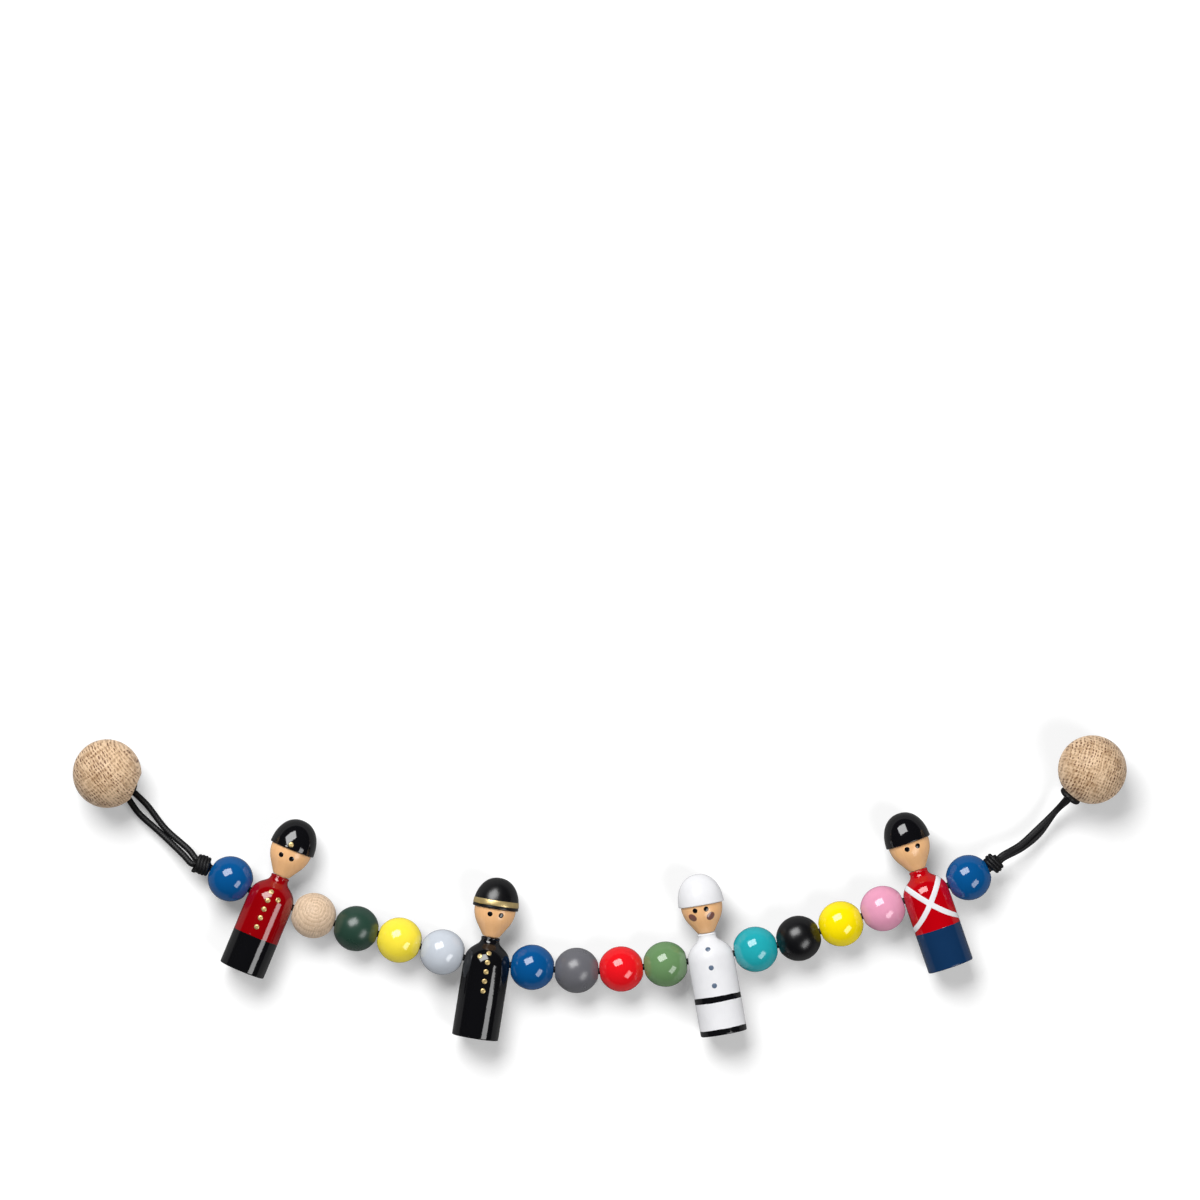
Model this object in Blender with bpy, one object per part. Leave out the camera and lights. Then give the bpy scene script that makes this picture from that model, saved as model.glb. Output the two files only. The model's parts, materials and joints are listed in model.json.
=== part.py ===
"""Pram chain: painted wooden beads and turned peg figures on an elastic cord, lying flat.

X runs along the chain, from its left end to its right, Y points from the figures' feet to their
caps, and Z is up from the surface that the chain lies on. The origin is at the middle of the
chain's box, on that surface.
"""

import math

import bmesh
import bpy
from mathutils import Matrix, Vector

MM = 0.001

# Elastic cord
CORD_DIAMETER = 2.8 * MM
CORD_SLACK = 0.95 * MM
CORD_TIP_LENGTH = 0.8 * MM
CORD_TIP_TAPER = 0.65
CORD_JOINT_GAP = 0.5 * MM

# Beads
BEAD_DIAMETER = 20.0 * MM
BEAD_MOUTH_CHAMFER = 1.15 * MM
BEAD_GAP = 0.96 * MM

# Peg figures, heights measured up from the base
BODY_DIAMETER = 20.6 * MM
BASE_ROUND = 0.6 * MM
SHOULDER_START = 33.0 * MM
SHOULDER_RADIUS = 9.0 * MM
SHOULDER_SLOPE = 52.0
NECK_COVE_RADIUS = 3.0 * MM
COLLAR_DIAMETER = 8.1 * MM
COLLAR_HEIGHT = 1.1 * MM
BORE_ABOVE_SHOULDER_START = 1.0 * MM
FIGURE_MOUTH_CHAMFER = 2.2 * MM
FIGURE_NEST = 0.08 * MM
HEAD_DIAMETER = 18.3 * MM
HEAD_HEIGHT = 12.3 * MM
CHEEK_RADIUS = 13.0 * MM
CHIN_DIAMETER = 7.3 * MM
CAP_DIAMETER = 20.2 * MM
CAP_HEIGHT = 13.5 * MM
NECK_PEG_DIAMETER = 4.0 * MM
NECK_PEG_LENGTH = 5.0 * MM
CROWN_PEG_DIAMETER = 7.0 * MM
CROWN_PEG_LENGTH = 4.0 * MM
FIT_GAP = 0.3 * MM

# End balls, with the flat and the socket where the loop enters
BALL_DIAMETER = 30.2 * MM
BALL_FLAT_DIAMETER = 12.6 * MM
SOCKET_CLEARANCE = 1.2 * MM
SOCKET_DEPTH = 9.0 * MM
STRAND_ENTRY = 2.0 * MM

# End loops: two strands of the cord from a knot to a ball
LEFT_LOOP_REACH = 44.05 * MM
RIGHT_LOOP_REACH = 41.7 * MM
STRAND_GAP = 0.3 * MM
KNOT_WRAP_DIAMETER = 1.6 * MM
KNOT_WRAP_GAP = 0.5 * MM
KNOT_DIAMETER = 8.8 * MM
KNOT_TURNS = 3
KNOT_SEAT_GAP = 0.55 * MM
KNOT_STRAND_GAP = 0.6 * MM
HITCH_DIAMETER = 2.6 * MM
HITCH_CLEARANCE = 0.55 * MM
HITCH_END_GAP = 0.6 * MM

# Mesh fineness
BEAD_SEGMENTS = 20
BEAD_ARC_STEPS = 8
FIGURE_SEGMENTS = 20
BALL_SEGMENTS = 24
BALL_ARC_STEPS = 12
LOOP_POINTS = 24

BEAD = "bead"
FIGURE = "figure"

# The chain from left to right: kind of piece, its name, and its resting heading in degrees
STATIONS = [
    (BEAD, "bead_01_blue", -30.0),
    (FIGURE, "sentry", -22.5),
    (BEAD, "bead_02_natural", -20.5),
    (BEAD, "bead_03_dark_green", -13.5),
    (BEAD, "bead_04_yellow", -16.5),
    (BEAD, "bead_05_pale_grey", -14.5),
    (FIGURE, "conductor", -9.0),
    (BEAD, "bead_06_blue", -6.0),
    (BEAD, "bead_07_slate", -2.0),
    (BEAD, "bead_08_red", 5.5),
    (BEAD, "bead_09_sage", 7.0),
    (FIGURE, "cook", 10.0),
    (BEAD, "bead_10_teal", 10.5),
    (BEAD, "bead_11_black", 18.0),
    (BEAD, "bead_12_yellow", 20.0),
    (BEAD, "bead_13_pink", 20.0),
    (FIGURE, "guard", 19.0),
    (BEAD, "bead_14_blue", 21.5),
]

# Each end loop: resting headings away from the chain in degrees, how far the ball's mouth faces
# down, and the loop's route as (share of the reach, sideways in mm, height in mm, turn of the pair)
LEFT_END = {
    "side": "left",
    "outward": -1.0,
    "knot_turn": 0.0,
    "loop_heading": 135.8,
    "reach": LEFT_LOOP_REACH,
    "mouth_heading": -45.0,
    "mouth_drop": 46.0,
    "tail": 1.6 * MM,
    "route": [(0.12, -0.2, 8.8, 15.0), (0.42, 1.5, 4.6, 6.0), (0.70, 0.9, 3.3, 0.0)],
    "knot_pair_turn": 20.0,
    "mouth_pair_turn": 0.0,
}
RIGHT_END = {
    "side": "right",
    "outward": 1.0,
    "knot_turn": 8.0,
    "loop_heading": 45.1,
    "reach": RIGHT_LOOP_REACH,
    "mouth_heading": -129.0,
    "mouth_drop": 12.0,
    "tail": 1.6 * MM,
    "route": [(0.22, -1.5, 8.0, 56.0), (0.45, -2.3, 6.6, 50.0), (0.74, -0.9, 8.0, 84.0)],
    "knot_pair_turn": 62.0,
    "mouth_pair_turn": 70.0,
}

# Finishes: colour, roughness
FINISHES = {
    "blue_lacquer": ((0.004, 0.09, 0.29), 0.16),
    "natural_beech": ((0.64, 0.46, 0.29), 0.5),
    "dark_green_lacquer": ((0.025, 0.075, 0.047), 0.16),
    "lemon_lacquer": ((0.93, 0.74, 0.06), 0.16),
    "yellow_lacquer": ((0.93, 0.7, 0.004), 0.16),
    "pale_grey_lacquer": ((0.56, 0.6, 0.66), 0.16),
    "slate_lacquer": ((0.13, 0.13, 0.145), 0.35),
    "red_lacquer": ((0.78, 0.01, 0.016), 0.16),
    "crimson_lacquer": ((0.28, 0.002, 0.005), 0.16),
    "scarlet_lacquer": ((0.5, 0.003, 0.009), 0.16),
    "sage_lacquer": ((0.15, 0.28, 0.12), 0.16),
    "teal_lacquer": ((0.02, 0.38, 0.43), 0.16),
    "black_lacquer": ((0.01, 0.01, 0.012), 0.2),
    "pink_lacquer": ((0.78, 0.32, 0.46), 0.16),
    "white_lacquer": ((0.84, 0.84, 0.86), 0.16),
    "flesh_lacquer": ((0.68, 0.38, 0.19), 0.2),
    "elastic_cord": ((0.014, 0.014, 0.016), 0.85),
}

BEAD_FINISH = {
    "bead_01_blue": "blue_lacquer",
    "bead_02_natural": "natural_beech",
    "bead_03_dark_green": "dark_green_lacquer",
    "bead_04_yellow": "lemon_lacquer",
    "bead_05_pale_grey": "pale_grey_lacquer",
    "bead_06_blue": "blue_lacquer",
    "bead_07_slate": "slate_lacquer",
    "bead_08_red": "red_lacquer",
    "bead_09_sage": "sage_lacquer",
    "bead_10_teal": "teal_lacquer",
    "bead_11_black": "black_lacquer",
    "bead_12_yellow": "yellow_lacquer",
    "bead_13_pink": "pink_lacquer",
    "bead_14_blue": "blue_lacquer",
}

FIGURE_FINISH = {
    "sentry": {"body": "crimson_lacquer", "head": "flesh_lacquer", "cap": "black_lacquer"},
    "conductor": {"body": "black_lacquer", "head": "flesh_lacquer", "cap": "black_lacquer"},
    "cook": {"body": "white_lacquer", "head": "flesh_lacquer", "cap": "white_lacquer"},
    "guard": {"body": "scarlet_lacquer", "head": "flesh_lacquer", "cap": "black_lacquer"},
}

# Sizes that follow from the ones above
CORD_RADIUS = CORD_DIAMETER / 2
BORE_RADIUS = CORD_RADIUS + CORD_SLACK
BEAD_RADIUS = BEAD_DIAMETER / 2
BEAD_MOUTH_RADIUS = BORE_RADIUS + BEAD_MOUTH_CHAMFER
BEAD_HALF_LENGTH = math.sqrt(BEAD_RADIUS ** 2 - BEAD_MOUTH_RADIUS ** 2)
BODY_RADIUS = BODY_DIAMETER / 2
CAP_RADIUS = CAP_DIAMETER / 2
HEAD_RADIUS = HEAD_DIAMETER / 2
CHIN_RADIUS = CHIN_DIAMETER / 2
COLLAR_RADIUS = COLLAR_DIAMETER / 2
SHOULDER_TURN = math.radians(SHOULDER_SLOPE)
SHOULDER_ROUNDS = SHOULDER_RADIUS + NECK_COVE_RADIUS
SHOULDER_LINE = max(0.0, (BODY_RADIUS - COLLAR_RADIUS - SHOULDER_ROUNDS * (1 - math.cos(SHOULDER_TURN)))
                    / math.sin(SHOULDER_TURN))
SHOULDER_TOP = (SHOULDER_START + SHOULDER_ROUNDS * math.sin(SHOULDER_TURN)
                + SHOULDER_LINE * math.cos(SHOULDER_TURN))
BORE_HEIGHT = SHOULDER_START + BORE_ABOVE_SHOULDER_START
COLLAR_TOP = SHOULDER_TOP + COLLAR_HEIGHT
HEAD_BASE = COLLAR_TOP + FIT_GAP
HEAD_TOP = HEAD_BASE + HEAD_HEIGHT
CAP_BASE = HEAD_TOP + FIT_GAP
BALL_RADIUS = BALL_DIAMETER / 2
BALL_FLAT_REACH = math.sqrt(BALL_RADIUS ** 2 - (BALL_FLAT_DIAMETER / 2) ** 2)
STRAND_SPACING = CORD_DIAMETER + STRAND_GAP
KNOT_WRAP_RADIUS = KNOT_WRAP_DIAMETER / 2
KNOT_WIND_RADIUS = KNOT_DIAMETER / 2 - KNOT_WRAP_RADIUS
KNOT_PITCH = KNOT_WRAP_DIAMETER + KNOT_WRAP_GAP
KNOT_LENGTH = KNOT_TURNS * KNOT_PITCH + KNOT_WRAP_DIAMETER
HITCH_RADIUS = HITCH_DIAMETER / 2
HITCH_REACH = BALL_FLAT_REACH + FIT_GAP + HITCH_RADIUS

# The cord runs level, at the height of the thickest piece, and a thinner piece may hang on it
FIGURE_RADIUS = max(BODY_RADIUS, CAP_RADIUS)
HANG = CORD_SLACK - FIT_GAP
CORD_LEVEL = max(FIGURE_RADIUS, BEAD_RADIUS, KNOT_DIAMETER / 2)
FIGURE_LEVEL = max(FIGURE_RADIUS, CORD_LEVEL - HANG)
BEAD_LEVEL = max(BEAD_RADIUS, CORD_LEVEL - HANG)


def clear_scene():
    """Remove what the file opened with."""
    for thing in list(bpy.data.objects):
        bpy.data.objects.remove(thing, do_unlink=True)


def make_finishes():
    """One Principled material for each finish."""
    made = {}
    for name, (colour, roughness) in FINISHES.items():
        material = bpy.data.materials.new(name)
        material.use_nodes = True
        shader = material.node_tree.nodes["Principled BSDF"]
        shader.inputs["Base Color"].default_value = (*colour, 1.0)
        shader.inputs["Roughness"].default_value = roughness
        shader.inputs["Metallic"].default_value = 0.0
        made[name] = material
    return made


def add_object(name, data, parent=None, material=None):
    """Link an object, with its finish on the object so that copies can share a mesh."""
    thing = bpy.data.objects.new(name, data)
    bpy.context.collection.objects.link(thing)
    thing.parent = parent
    if material is not None:
        if not data.materials:
            data.materials.append(None)
        thing.material_slots[0].link = "OBJECT"
        thing.material_slots[0].material = material
    return thing


def add_empty(name, location, turn_z=0.0, parent=None):
    """A guide that carries pieces, turned about Z."""
    guide = add_object(name, None, parent)
    guide.empty_display_size = BEAD_RADIUS
    guide.location = location
    guide.rotation_euler = (0.0, 0.0, turn_z)
    return guide


def turned_mesh(name, profile, axis, segments, ring=False):
    """Spin a profile of (along, radius) points about an axis, X or Y, through the origin."""
    along = Vector((1, 0, 0)) if axis == "X" else Vector((0, 1, 0))
    sideways = Vector((0, 0, 1))
    shape = bmesh.new()
    points = [shape.verts.new(along * a + sideways * r) for a, r in profile]
    pairs = list(zip(points, points[1:]))
    if ring:
        pairs.append((points[-1], points[0]))
    edges = [shape.edges.new(pair) for pair in pairs]
    bmesh.ops.spin(shape, geom=points + edges, cent=(0, 0, 0), axis=along, angle=2 * math.pi,
                   steps=segments, use_merge=True)
    bmesh.ops.remove_doubles(shape, verts=shape.verts[:], dist=MM / 1000)
    bmesh.ops.recalc_face_normals(shape, faces=shape.faces[:])
    mesh = bpy.data.meshes.new(name)
    shape.to_mesh(mesh)
    shape.free()
    mesh.shade_smooth()
    mesh.set_sharp_from_angle(angle=math.radians(35))
    return mesh


def arc(centre, radius, start, end, steps):
    """Points (along, radius) on a circle whose centre lies on the axis, angles from the axis."""
    angles = [start + (end - start) * i / steps for i in range(steps + 1)]
    return [(centre + radius * math.cos(a), radius * math.sin(a)) for a in angles]


def rise(start, height, low, high, steps):
    """Quarter of an ellipse from radius high at the start down to low at the top."""
    angles = [math.pi / 2 * i / steps for i in range(steps + 1)]
    return [(start + height * math.sin(a), low + (high - low) * math.cos(a)) for a in angles]


def bead_mesh():
    """A ball with a bore and countersunk mouths, its bore along X."""
    mouth = math.asin(BEAD_MOUTH_RADIUS / BEAD_RADIUS)
    outside = arc(0.0, BEAD_RADIUS, mouth, math.pi - mouth, BEAD_ARC_STEPS)
    deep = BEAD_HALF_LENGTH - BEAD_MOUTH_CHAMFER
    return turned_mesh("bead", outside + [(-deep, BORE_RADIUS), (deep, BORE_RADIUS)], "X",
                       BEAD_SEGMENTS, ring=True)


def shoulder_outline():
    """Shoulder from the straight side in to the collar: a round, a slope and a cove."""
    turns = [SHOULDER_TURN * i / 4 for i in range(5)]
    outside = [(SHOULDER_START + SHOULDER_RADIUS * math.sin(a),
                BODY_RADIUS - SHOULDER_RADIUS * (1 - math.cos(a))) for a in turns]
    cove = [(SHOULDER_TOP - NECK_COVE_RADIUS * math.sin(a),
             COLLAR_RADIUS + NECK_COVE_RADIUS * (1 - math.cos(a))) for a in reversed(turns)]
    return outside + cove


def body_outline():
    """Body from the middle of its base to the middle of its neck socket."""
    socket_radius = NECK_PEG_DIAMETER / 2 + FIT_GAP
    socket_floor = COLLAR_TOP - NECK_PEG_LENGTH - FIT_GAP
    return [
        (0.0, 0.0),
        (0.0, BODY_RADIUS - BASE_ROUND),
        (BASE_ROUND, BODY_RADIUS),
        *shoulder_outline(),
        (COLLAR_TOP, COLLAR_RADIUS),
        (COLLAR_TOP, socket_radius),
        (socket_floor, socket_radius),
        (socket_floor, 0.0),
    ]


def head_outline():
    """Head from the end of its neck peg, up a straight jaw and a round cheek, to its crown peg."""
    middle = HEAD_RADIUS - CHEEK_RADIUS
    reach = math.hypot(HEAD_HEIGHT, CHIN_RADIUS - middle)
    jaw = math.asin(min(1.0, CHEEK_RADIUS / reach)) - math.atan2(CHIN_RADIUS - middle, HEAD_HEIGHT)
    steps = 5
    angles = [jaw * (1 - i / steps) for i in range(steps + 1)]
    cheek = [(HEAD_TOP - CHEEK_RADIUS * math.sin(a), middle + CHEEK_RADIUS * math.cos(a)) for a in angles]
    return [
        (HEAD_BASE - NECK_PEG_LENGTH, 0.0),
        (HEAD_BASE - NECK_PEG_LENGTH, NECK_PEG_DIAMETER / 2),
        (HEAD_BASE, NECK_PEG_DIAMETER / 2),
        (HEAD_BASE, CHIN_RADIUS),
        *cheek,
        (HEAD_TOP, CROWN_PEG_DIAMETER / 2),
        (HEAD_TOP + CROWN_PEG_LENGTH, CROWN_PEG_DIAMETER / 2),
        (HEAD_TOP + CROWN_PEG_LENGTH, 0.0),
    ]


def cap_outline():
    """Cap from the roof of its crown socket, under its rim and up over its dome."""
    socket_radius = CROWN_PEG_DIAMETER / 2 + FIT_GAP
    socket_roof = HEAD_TOP + CROWN_PEG_LENGTH + FIT_GAP
    return [
        (socket_roof, 0.0),
        (socket_roof, socket_radius),
        (CAP_BASE, socket_radius),
        *rise(CAP_BASE, CAP_HEIGHT, 0.0, CAP_RADIUS, 8),
    ]


def figure_mesh(name, outline):
    """Turn a figure's outline about Y, with the middle of its bore at the origin."""
    return turned_mesh(name, [(h - BORE_HEIGHT, r) for h, r in outline], "Y", FIGURE_SEGMENTS)


def bored_body_mesh():
    """The body with its cross bore, countersunk where the cord goes in and comes out."""
    reach = BODY_RADIUS + FIT_GAP
    flare = FIGURE_MOUTH_CHAMFER + FIT_GAP
    mouth = BORE_RADIUS + flare
    spindle = [(-reach, 0), (-reach, mouth), (flare - reach, BORE_RADIUS),
               (reach - flare, BORE_RADIUS), (reach, mouth), (reach, 0)]
    cutter = add_object("bore_cutter", turned_mesh("bore_cutter", spindle, "X", FIGURE_SEGMENTS))
    cutter.hide_render = True
    cutter.display_type = "WIRE"
    blank = add_object("body_blank", figure_mesh("body_blank", body_outline()))
    cut = blank.modifiers.new("bore", "BOOLEAN")
    cut.operation = "DIFFERENCE"
    cut.object = cutter
    cut.solver = "EXACT"
    bpy.context.view_layer.update()
    graph = bpy.context.evaluated_depsgraph_get()
    mesh = bpy.data.meshes.new_from_object(blank.evaluated_get(graph))
    mesh.name = "body"
    mesh.materials.clear()
    mesh.set_sharp_from_angle(angle=math.radians(35))
    for thing in (blank, cutter):
        bpy.data.objects.remove(thing, do_unlink=True)
    return mesh


def tube(name, points, radius, sides_level, parent, material, scales=None):
    """A closed round tube along a list of points, thinner or thicker where scales say so."""
    curve = bpy.data.curves.new(name, "CURVE")
    curve.dimensions = "3D"
    curve.bevel_depth = radius
    curve.bevel_resolution = sides_level
    curve.use_fill_caps = True
    line = curve.splines.new("POLY")
    line.points.add(len(points) - 1)
    line.use_smooth = True
    for i, point in enumerate(points):
        line.points[i].co = (*point, 1.0)
        line.points[i].radius = scales[i] if scales else 1.0
    return add_object(name, curve, parent, material)


def smooth_route(knots, count):
    """Points at even steps along a smooth curve through the route's own points."""
    knots = [Vector(k) for k in knots]
    padded = [2 * knots[0] - knots[1], *knots, 2 * knots[-1] - knots[-2]]
    fine = []
    for i in range(1, len(padded) - 2):
        before, here, there, after = padded[i - 1:i + 3]
        for step in range(40):
            t = step / 40
            fine.append(0.5 * (2 * here + (there - before) * t
                               + (2 * before - 5 * here + 4 * there - after) * t ** 2
                               + (3 * here - before - 3 * there + after) * t ** 3))
    fine.append(knots[-1])
    run = [0.0]
    for a, b in zip(fine, fine[1:]):
        run.append(run[-1] + (b - a).length)
    points = []
    for i in range(count):
        target = run[-1] * i / (count - 1)
        j = max(1, next(k for k in range(1, len(run)) if run[k] >= target - MM / 1e6))
        share = (target - run[j - 1]) / (run[j] - run[j - 1])
        points.append(fine[j - 1].lerp(fine[j], share))
    return points


def least_gap(points, diameter):
    """Least clear distance of a winding to itself, leaving out what lies along the same stretch."""
    run = [0.0]
    for a, b in zip(points, points[1:]):
        run.append(run[-1] + (b - a).length)
    apart = [(points[i] - points[j]).length
             for i in range(len(points)) for j in range(i)
             if run[i] - run[j] > 3 * diameter]
    return min(apart) - diameter if apart else math.inf


def station_half(kind):
    """Distance from a piece's middle to the point where the cord bends beside it."""
    if kind == FIGURE:
        return BODY_RADIUS - FIGURE_NEST
    return BEAD_HALF_LENGTH + BEAD_GAP / 2


def string_chain(root):
    """Guides along the cord, one at the middle of each piece, each turned to its heading."""
    guides = []
    place = Vector((0, 0, CORD_LEVEL))
    for number, (kind, name, heading) in enumerate(STATIONS, start=1):
        turn = math.radians(heading)
        step = Vector((math.cos(turn), math.sin(turn), 0)) * station_half(kind)
        middle = place + step
        guides.append(add_empty(f"station_{number:02d}", middle, turn, root))
        place = middle + step
    return guides


def inner_cord(number, kind, guide, finish):
    """The straight length of cord inside one piece, its ends drawn in so that it can bend."""
    half = station_half(kind) - CORD_JOINT_GAP / 2
    whole = half - CORD_TIP_LENGTH
    points = [(-half, 0, 0), (-whole, 0, 0), (whole, 0, 0), (half, 0, 0)]
    scales = [CORD_TIP_TAPER, 1.0, 1.0, CORD_TIP_TAPER]
    return tube(f"cord_{number:02d}", points, CORD_RADIUS, 2, guide, finish["elastic_cord"], scales)


def knot_guide(end, guide):
    """Guide at the bead's outer mouth, its X pointing away from the chain along the knot."""
    outward = end["outward"]
    turn = 0.0 if outward > 0 else math.pi
    place = (outward * BEAD_HALF_LENGTH, 0, 0)
    return add_empty(f"knot_{end['side']}_seat", place, turn + math.radians(end["knot_turn"]), guide)


def end_cord(number, end, guide, finish):
    """Cord inside an end bead, running out into the thicker core of its knot."""
    outward = end["outward"]
    turn = math.radians(end["knot_turn"])
    half = station_half(BEAD) - CORD_JOINT_GAP / 2
    core_scale = (KNOT_WIND_RADIUS - KNOT_WRAP_RADIUS - FIT_GAP) / CORD_RADIUS
    out = Vector((math.cos(turn), math.sin(turn), 0)) * outward
    mouth = Vector((outward * BEAD_HALF_LENGTH, 0, 0))
    core_end = KNOT_SEAT_GAP + KNOT_LENGTH
    points = [
        Vector((-outward * half, 0, 0)),
        Vector((outward * (CORD_TIP_LENGTH - half), 0, 0)),
        mouth,
        mouth + out * KNOT_SEAT_GAP,
        mouth + out * (KNOT_SEAT_GAP + KNOT_WRAP_RADIUS),
        mouth + out * (core_end - KNOT_PITCH),
        mouth + out * (core_end - KNOT_WRAP_RADIUS),
        mouth + out * core_end,
    ]
    nose = core_scale * CORD_TIP_TAPER
    scales = [CORD_TIP_TAPER, 1.0, 1.0, 1.0, core_scale, core_scale, nose, nose * CORD_TIP_TAPER]
    return tube(f"cord_{number:02d}", points, CORD_RADIUS, 2, guide, finish["elastic_cord"], scales)


def knot_winding(end, seat, finish):
    """The knot's wraps as one tube, with its cut tail leaving sideways under the cord."""
    name = f"knot_{end['side']}"
    start = KNOT_SEAT_GAP + KNOT_WRAP_RADIUS
    steps = KNOT_TURNS * LOOP_POINTS
    points = []
    for i in range(steps + 1):
        angle = 2 * math.pi * i / LOOP_POINTS
        points.append(Vector((start + KNOT_PITCH * i / LOOP_POINTS,
                              KNOT_WIND_RADIUS * math.sin(angle),
                              -KNOT_WIND_RADIUS * math.cos(angle))))
    leave = Vector((0, 1, 0))
    points.append(points[-1] + leave * (KNOT_WIND_RADIUS + end["tail"]))
    print(f"{name}: least gap to itself {least_gap(points, KNOT_WRAP_DIAMETER) / MM:.2f} mm")
    return tube(name, points, KNOT_WRAP_RADIUS, 1, seat, finish["elastic_cord"])


def ball_mesh():
    """End ball turned about X, with its flat and its socket facing +X."""
    flat = math.asin(BALL_FLAT_DIAMETER / BALL_DIAMETER)
    socket_radius = STRAND_SPACING / 2 + CORD_RADIUS + SOCKET_CLEARANCE
    socket_floor = BALL_FLAT_REACH - SOCKET_DEPTH
    outline = [(socket_floor, 0.0), (socket_floor, socket_radius), (BALL_FLAT_REACH, socket_radius)]
    outline += arc(0.0, BALL_RADIUS, flat, math.pi, BALL_ARC_STEPS)
    return turned_mesh("end_ball", outline, "X", BALL_SEGMENTS)


def pair_offset(angle, side, across):
    """Half the strands' spacing, turned about the loop's line from level towards upright."""
    spread = STRAND_SPACING / 2 * side
    return across * (spread * math.cos(angle)) + Vector((0, 0, spread * math.sin(angle)))


def place_ball(end, seat, root):
    """Guides at the loop's start and at the ball, and the point where the strands enter it."""
    bpy.context.view_layer.update()
    to_root = root.matrix_world.inverted() @ seat.matrix_world
    start = to_root @ Vector((KNOT_SEAT_GAP + KNOT_LENGTH + KNOT_STRAND_GAP / 2, 0, 0))
    heading = math.radians(end["loop_heading"])
    drop = math.radians(end["mouth_drop"])
    facing = math.radians(end["mouth_heading"])
    away = Vector((math.cos(facing) * math.cos(drop), math.sin(facing) * math.cos(drop), -math.sin(drop)))
    mouth = start + Vector((math.cos(heading), math.sin(heading), 0)) * end["reach"]
    mouth.z = BALL_RADIUS - BALL_FLAT_REACH * math.sin(drop)
    centre = mouth - away * BALL_FLAT_REACH
    guide = add_empty(f"ball_{end['side']}_centre", centre, 0.0, root)
    guide.rotation_euler = (0.0, drop, facing)
    swing = add_empty(f"loop_{end['side']}_swing", start, heading, root)
    return swing, guide, start, mouth, away


def loop_strands(end, swing, start, mouth, away, finish):
    """The two strands of an end loop, from the knot into the ball's socket."""
    ahead = Vector((mouth.x - start.x, mouth.y - start.y, 0)).normalized()
    across = Vector((-ahead.y, ahead.x, 0))
    first = start + ahead * (KNOT_STRAND_GAP / 2)
    first_turn = math.radians(end["knot_pair_turn"])
    last_turn = math.radians(end["mouth_pair_turn"])
    last_across = Vector((-away.y, away.x, 0)).normalized() * -1
    centre = [(first, first_turn, across)]
    for share, sideways, height, turn in end["route"]:
        spot = start.lerp(mouth, share) + across * (sideways * MM)
        spot.z = height * MM
        centre.append((spot, math.radians(turn), across))
    outside = mouth + away * (HITCH_DIAMETER + 2 * FIT_GAP)
    inside = mouth - away * STRAND_ENTRY
    centre.append((outside, last_turn, last_across))
    centre.append((inside, last_turn, last_across))
    to_swing = Matrix.LocRotScale(swing.location, swing.rotation_euler, None).inverted()
    for label, side in (("near", -1.0), ("far", 1.0)):
        route = [to_swing @ (spot + pair_offset(turn, side, sideways)) for spot, turn, sideways in centre]
        points = smooth_route(route, 11)
        scales = [CORD_TIP_TAPER] + [1.0] * (len(points) - 2) + [CORD_TIP_TAPER]
        tube(f"loop_{end['side']}_{label}", points, CORD_RADIUS, 2, swing, finish["elastic_cord"], scales)


def hitch(end, guide, finish):
    """One open turn of cord round the strands, lying on the ball's flat."""
    name = f"hitch_{end['side']}"
    turn = math.radians(end["mouth_pair_turn"])
    spread = STRAND_SPACING / 2
    wide = spread * math.cos(turn) + CORD_RADIUS + HITCH_CLEARANCE + HITCH_RADIUS
    tall = spread * math.sin(turn) + CORD_RADIUS + HITCH_CLEARANCE + HITCH_RADIUS
    opening = 2 * math.asin((HITCH_DIAMETER + HITCH_END_GAP) / (2 * wide))
    begin = -math.pi / 2 + opening / 2
    sweep = 2 * math.pi - opening
    angles = [begin + sweep * i / LOOP_POINTS for i in range(LOOP_POINTS + 1)]
    points = [Vector((HITCH_REACH, wide * math.cos(a), tall * math.sin(a))) for a in angles]
    print(f"{name}: least gap to itself {least_gap(points, HITCH_DIAMETER) / MM:.2f} mm")
    return tube(name, points, HITCH_RADIUS, 1, guide, finish["elastic_cord"])


def centre_on_surface(root):
    """Move the whole chain so that the origin is at the middle of its box, on the surface."""
    bpy.context.view_layer.update()
    graph = bpy.context.evaluated_depsgraph_get()
    low = [math.inf, math.inf]
    high = [-math.inf, -math.inf]
    for thing in bpy.context.collection.objects:
        if thing.type != "MESH":
            continue
        for vertex in thing.evaluated_get(graph).data.vertices:
            spot = thing.matrix_world @ vertex.co
            for k in range(2):
                low[k] = min(low[k], spot[k])
                high[k] = max(high[k], spot[k])
    root.location = (-(low[0] + high[0]) / 2, -(low[1] + high[1]) / 2, 0.0)
    bpy.context.view_layer.update()


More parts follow.
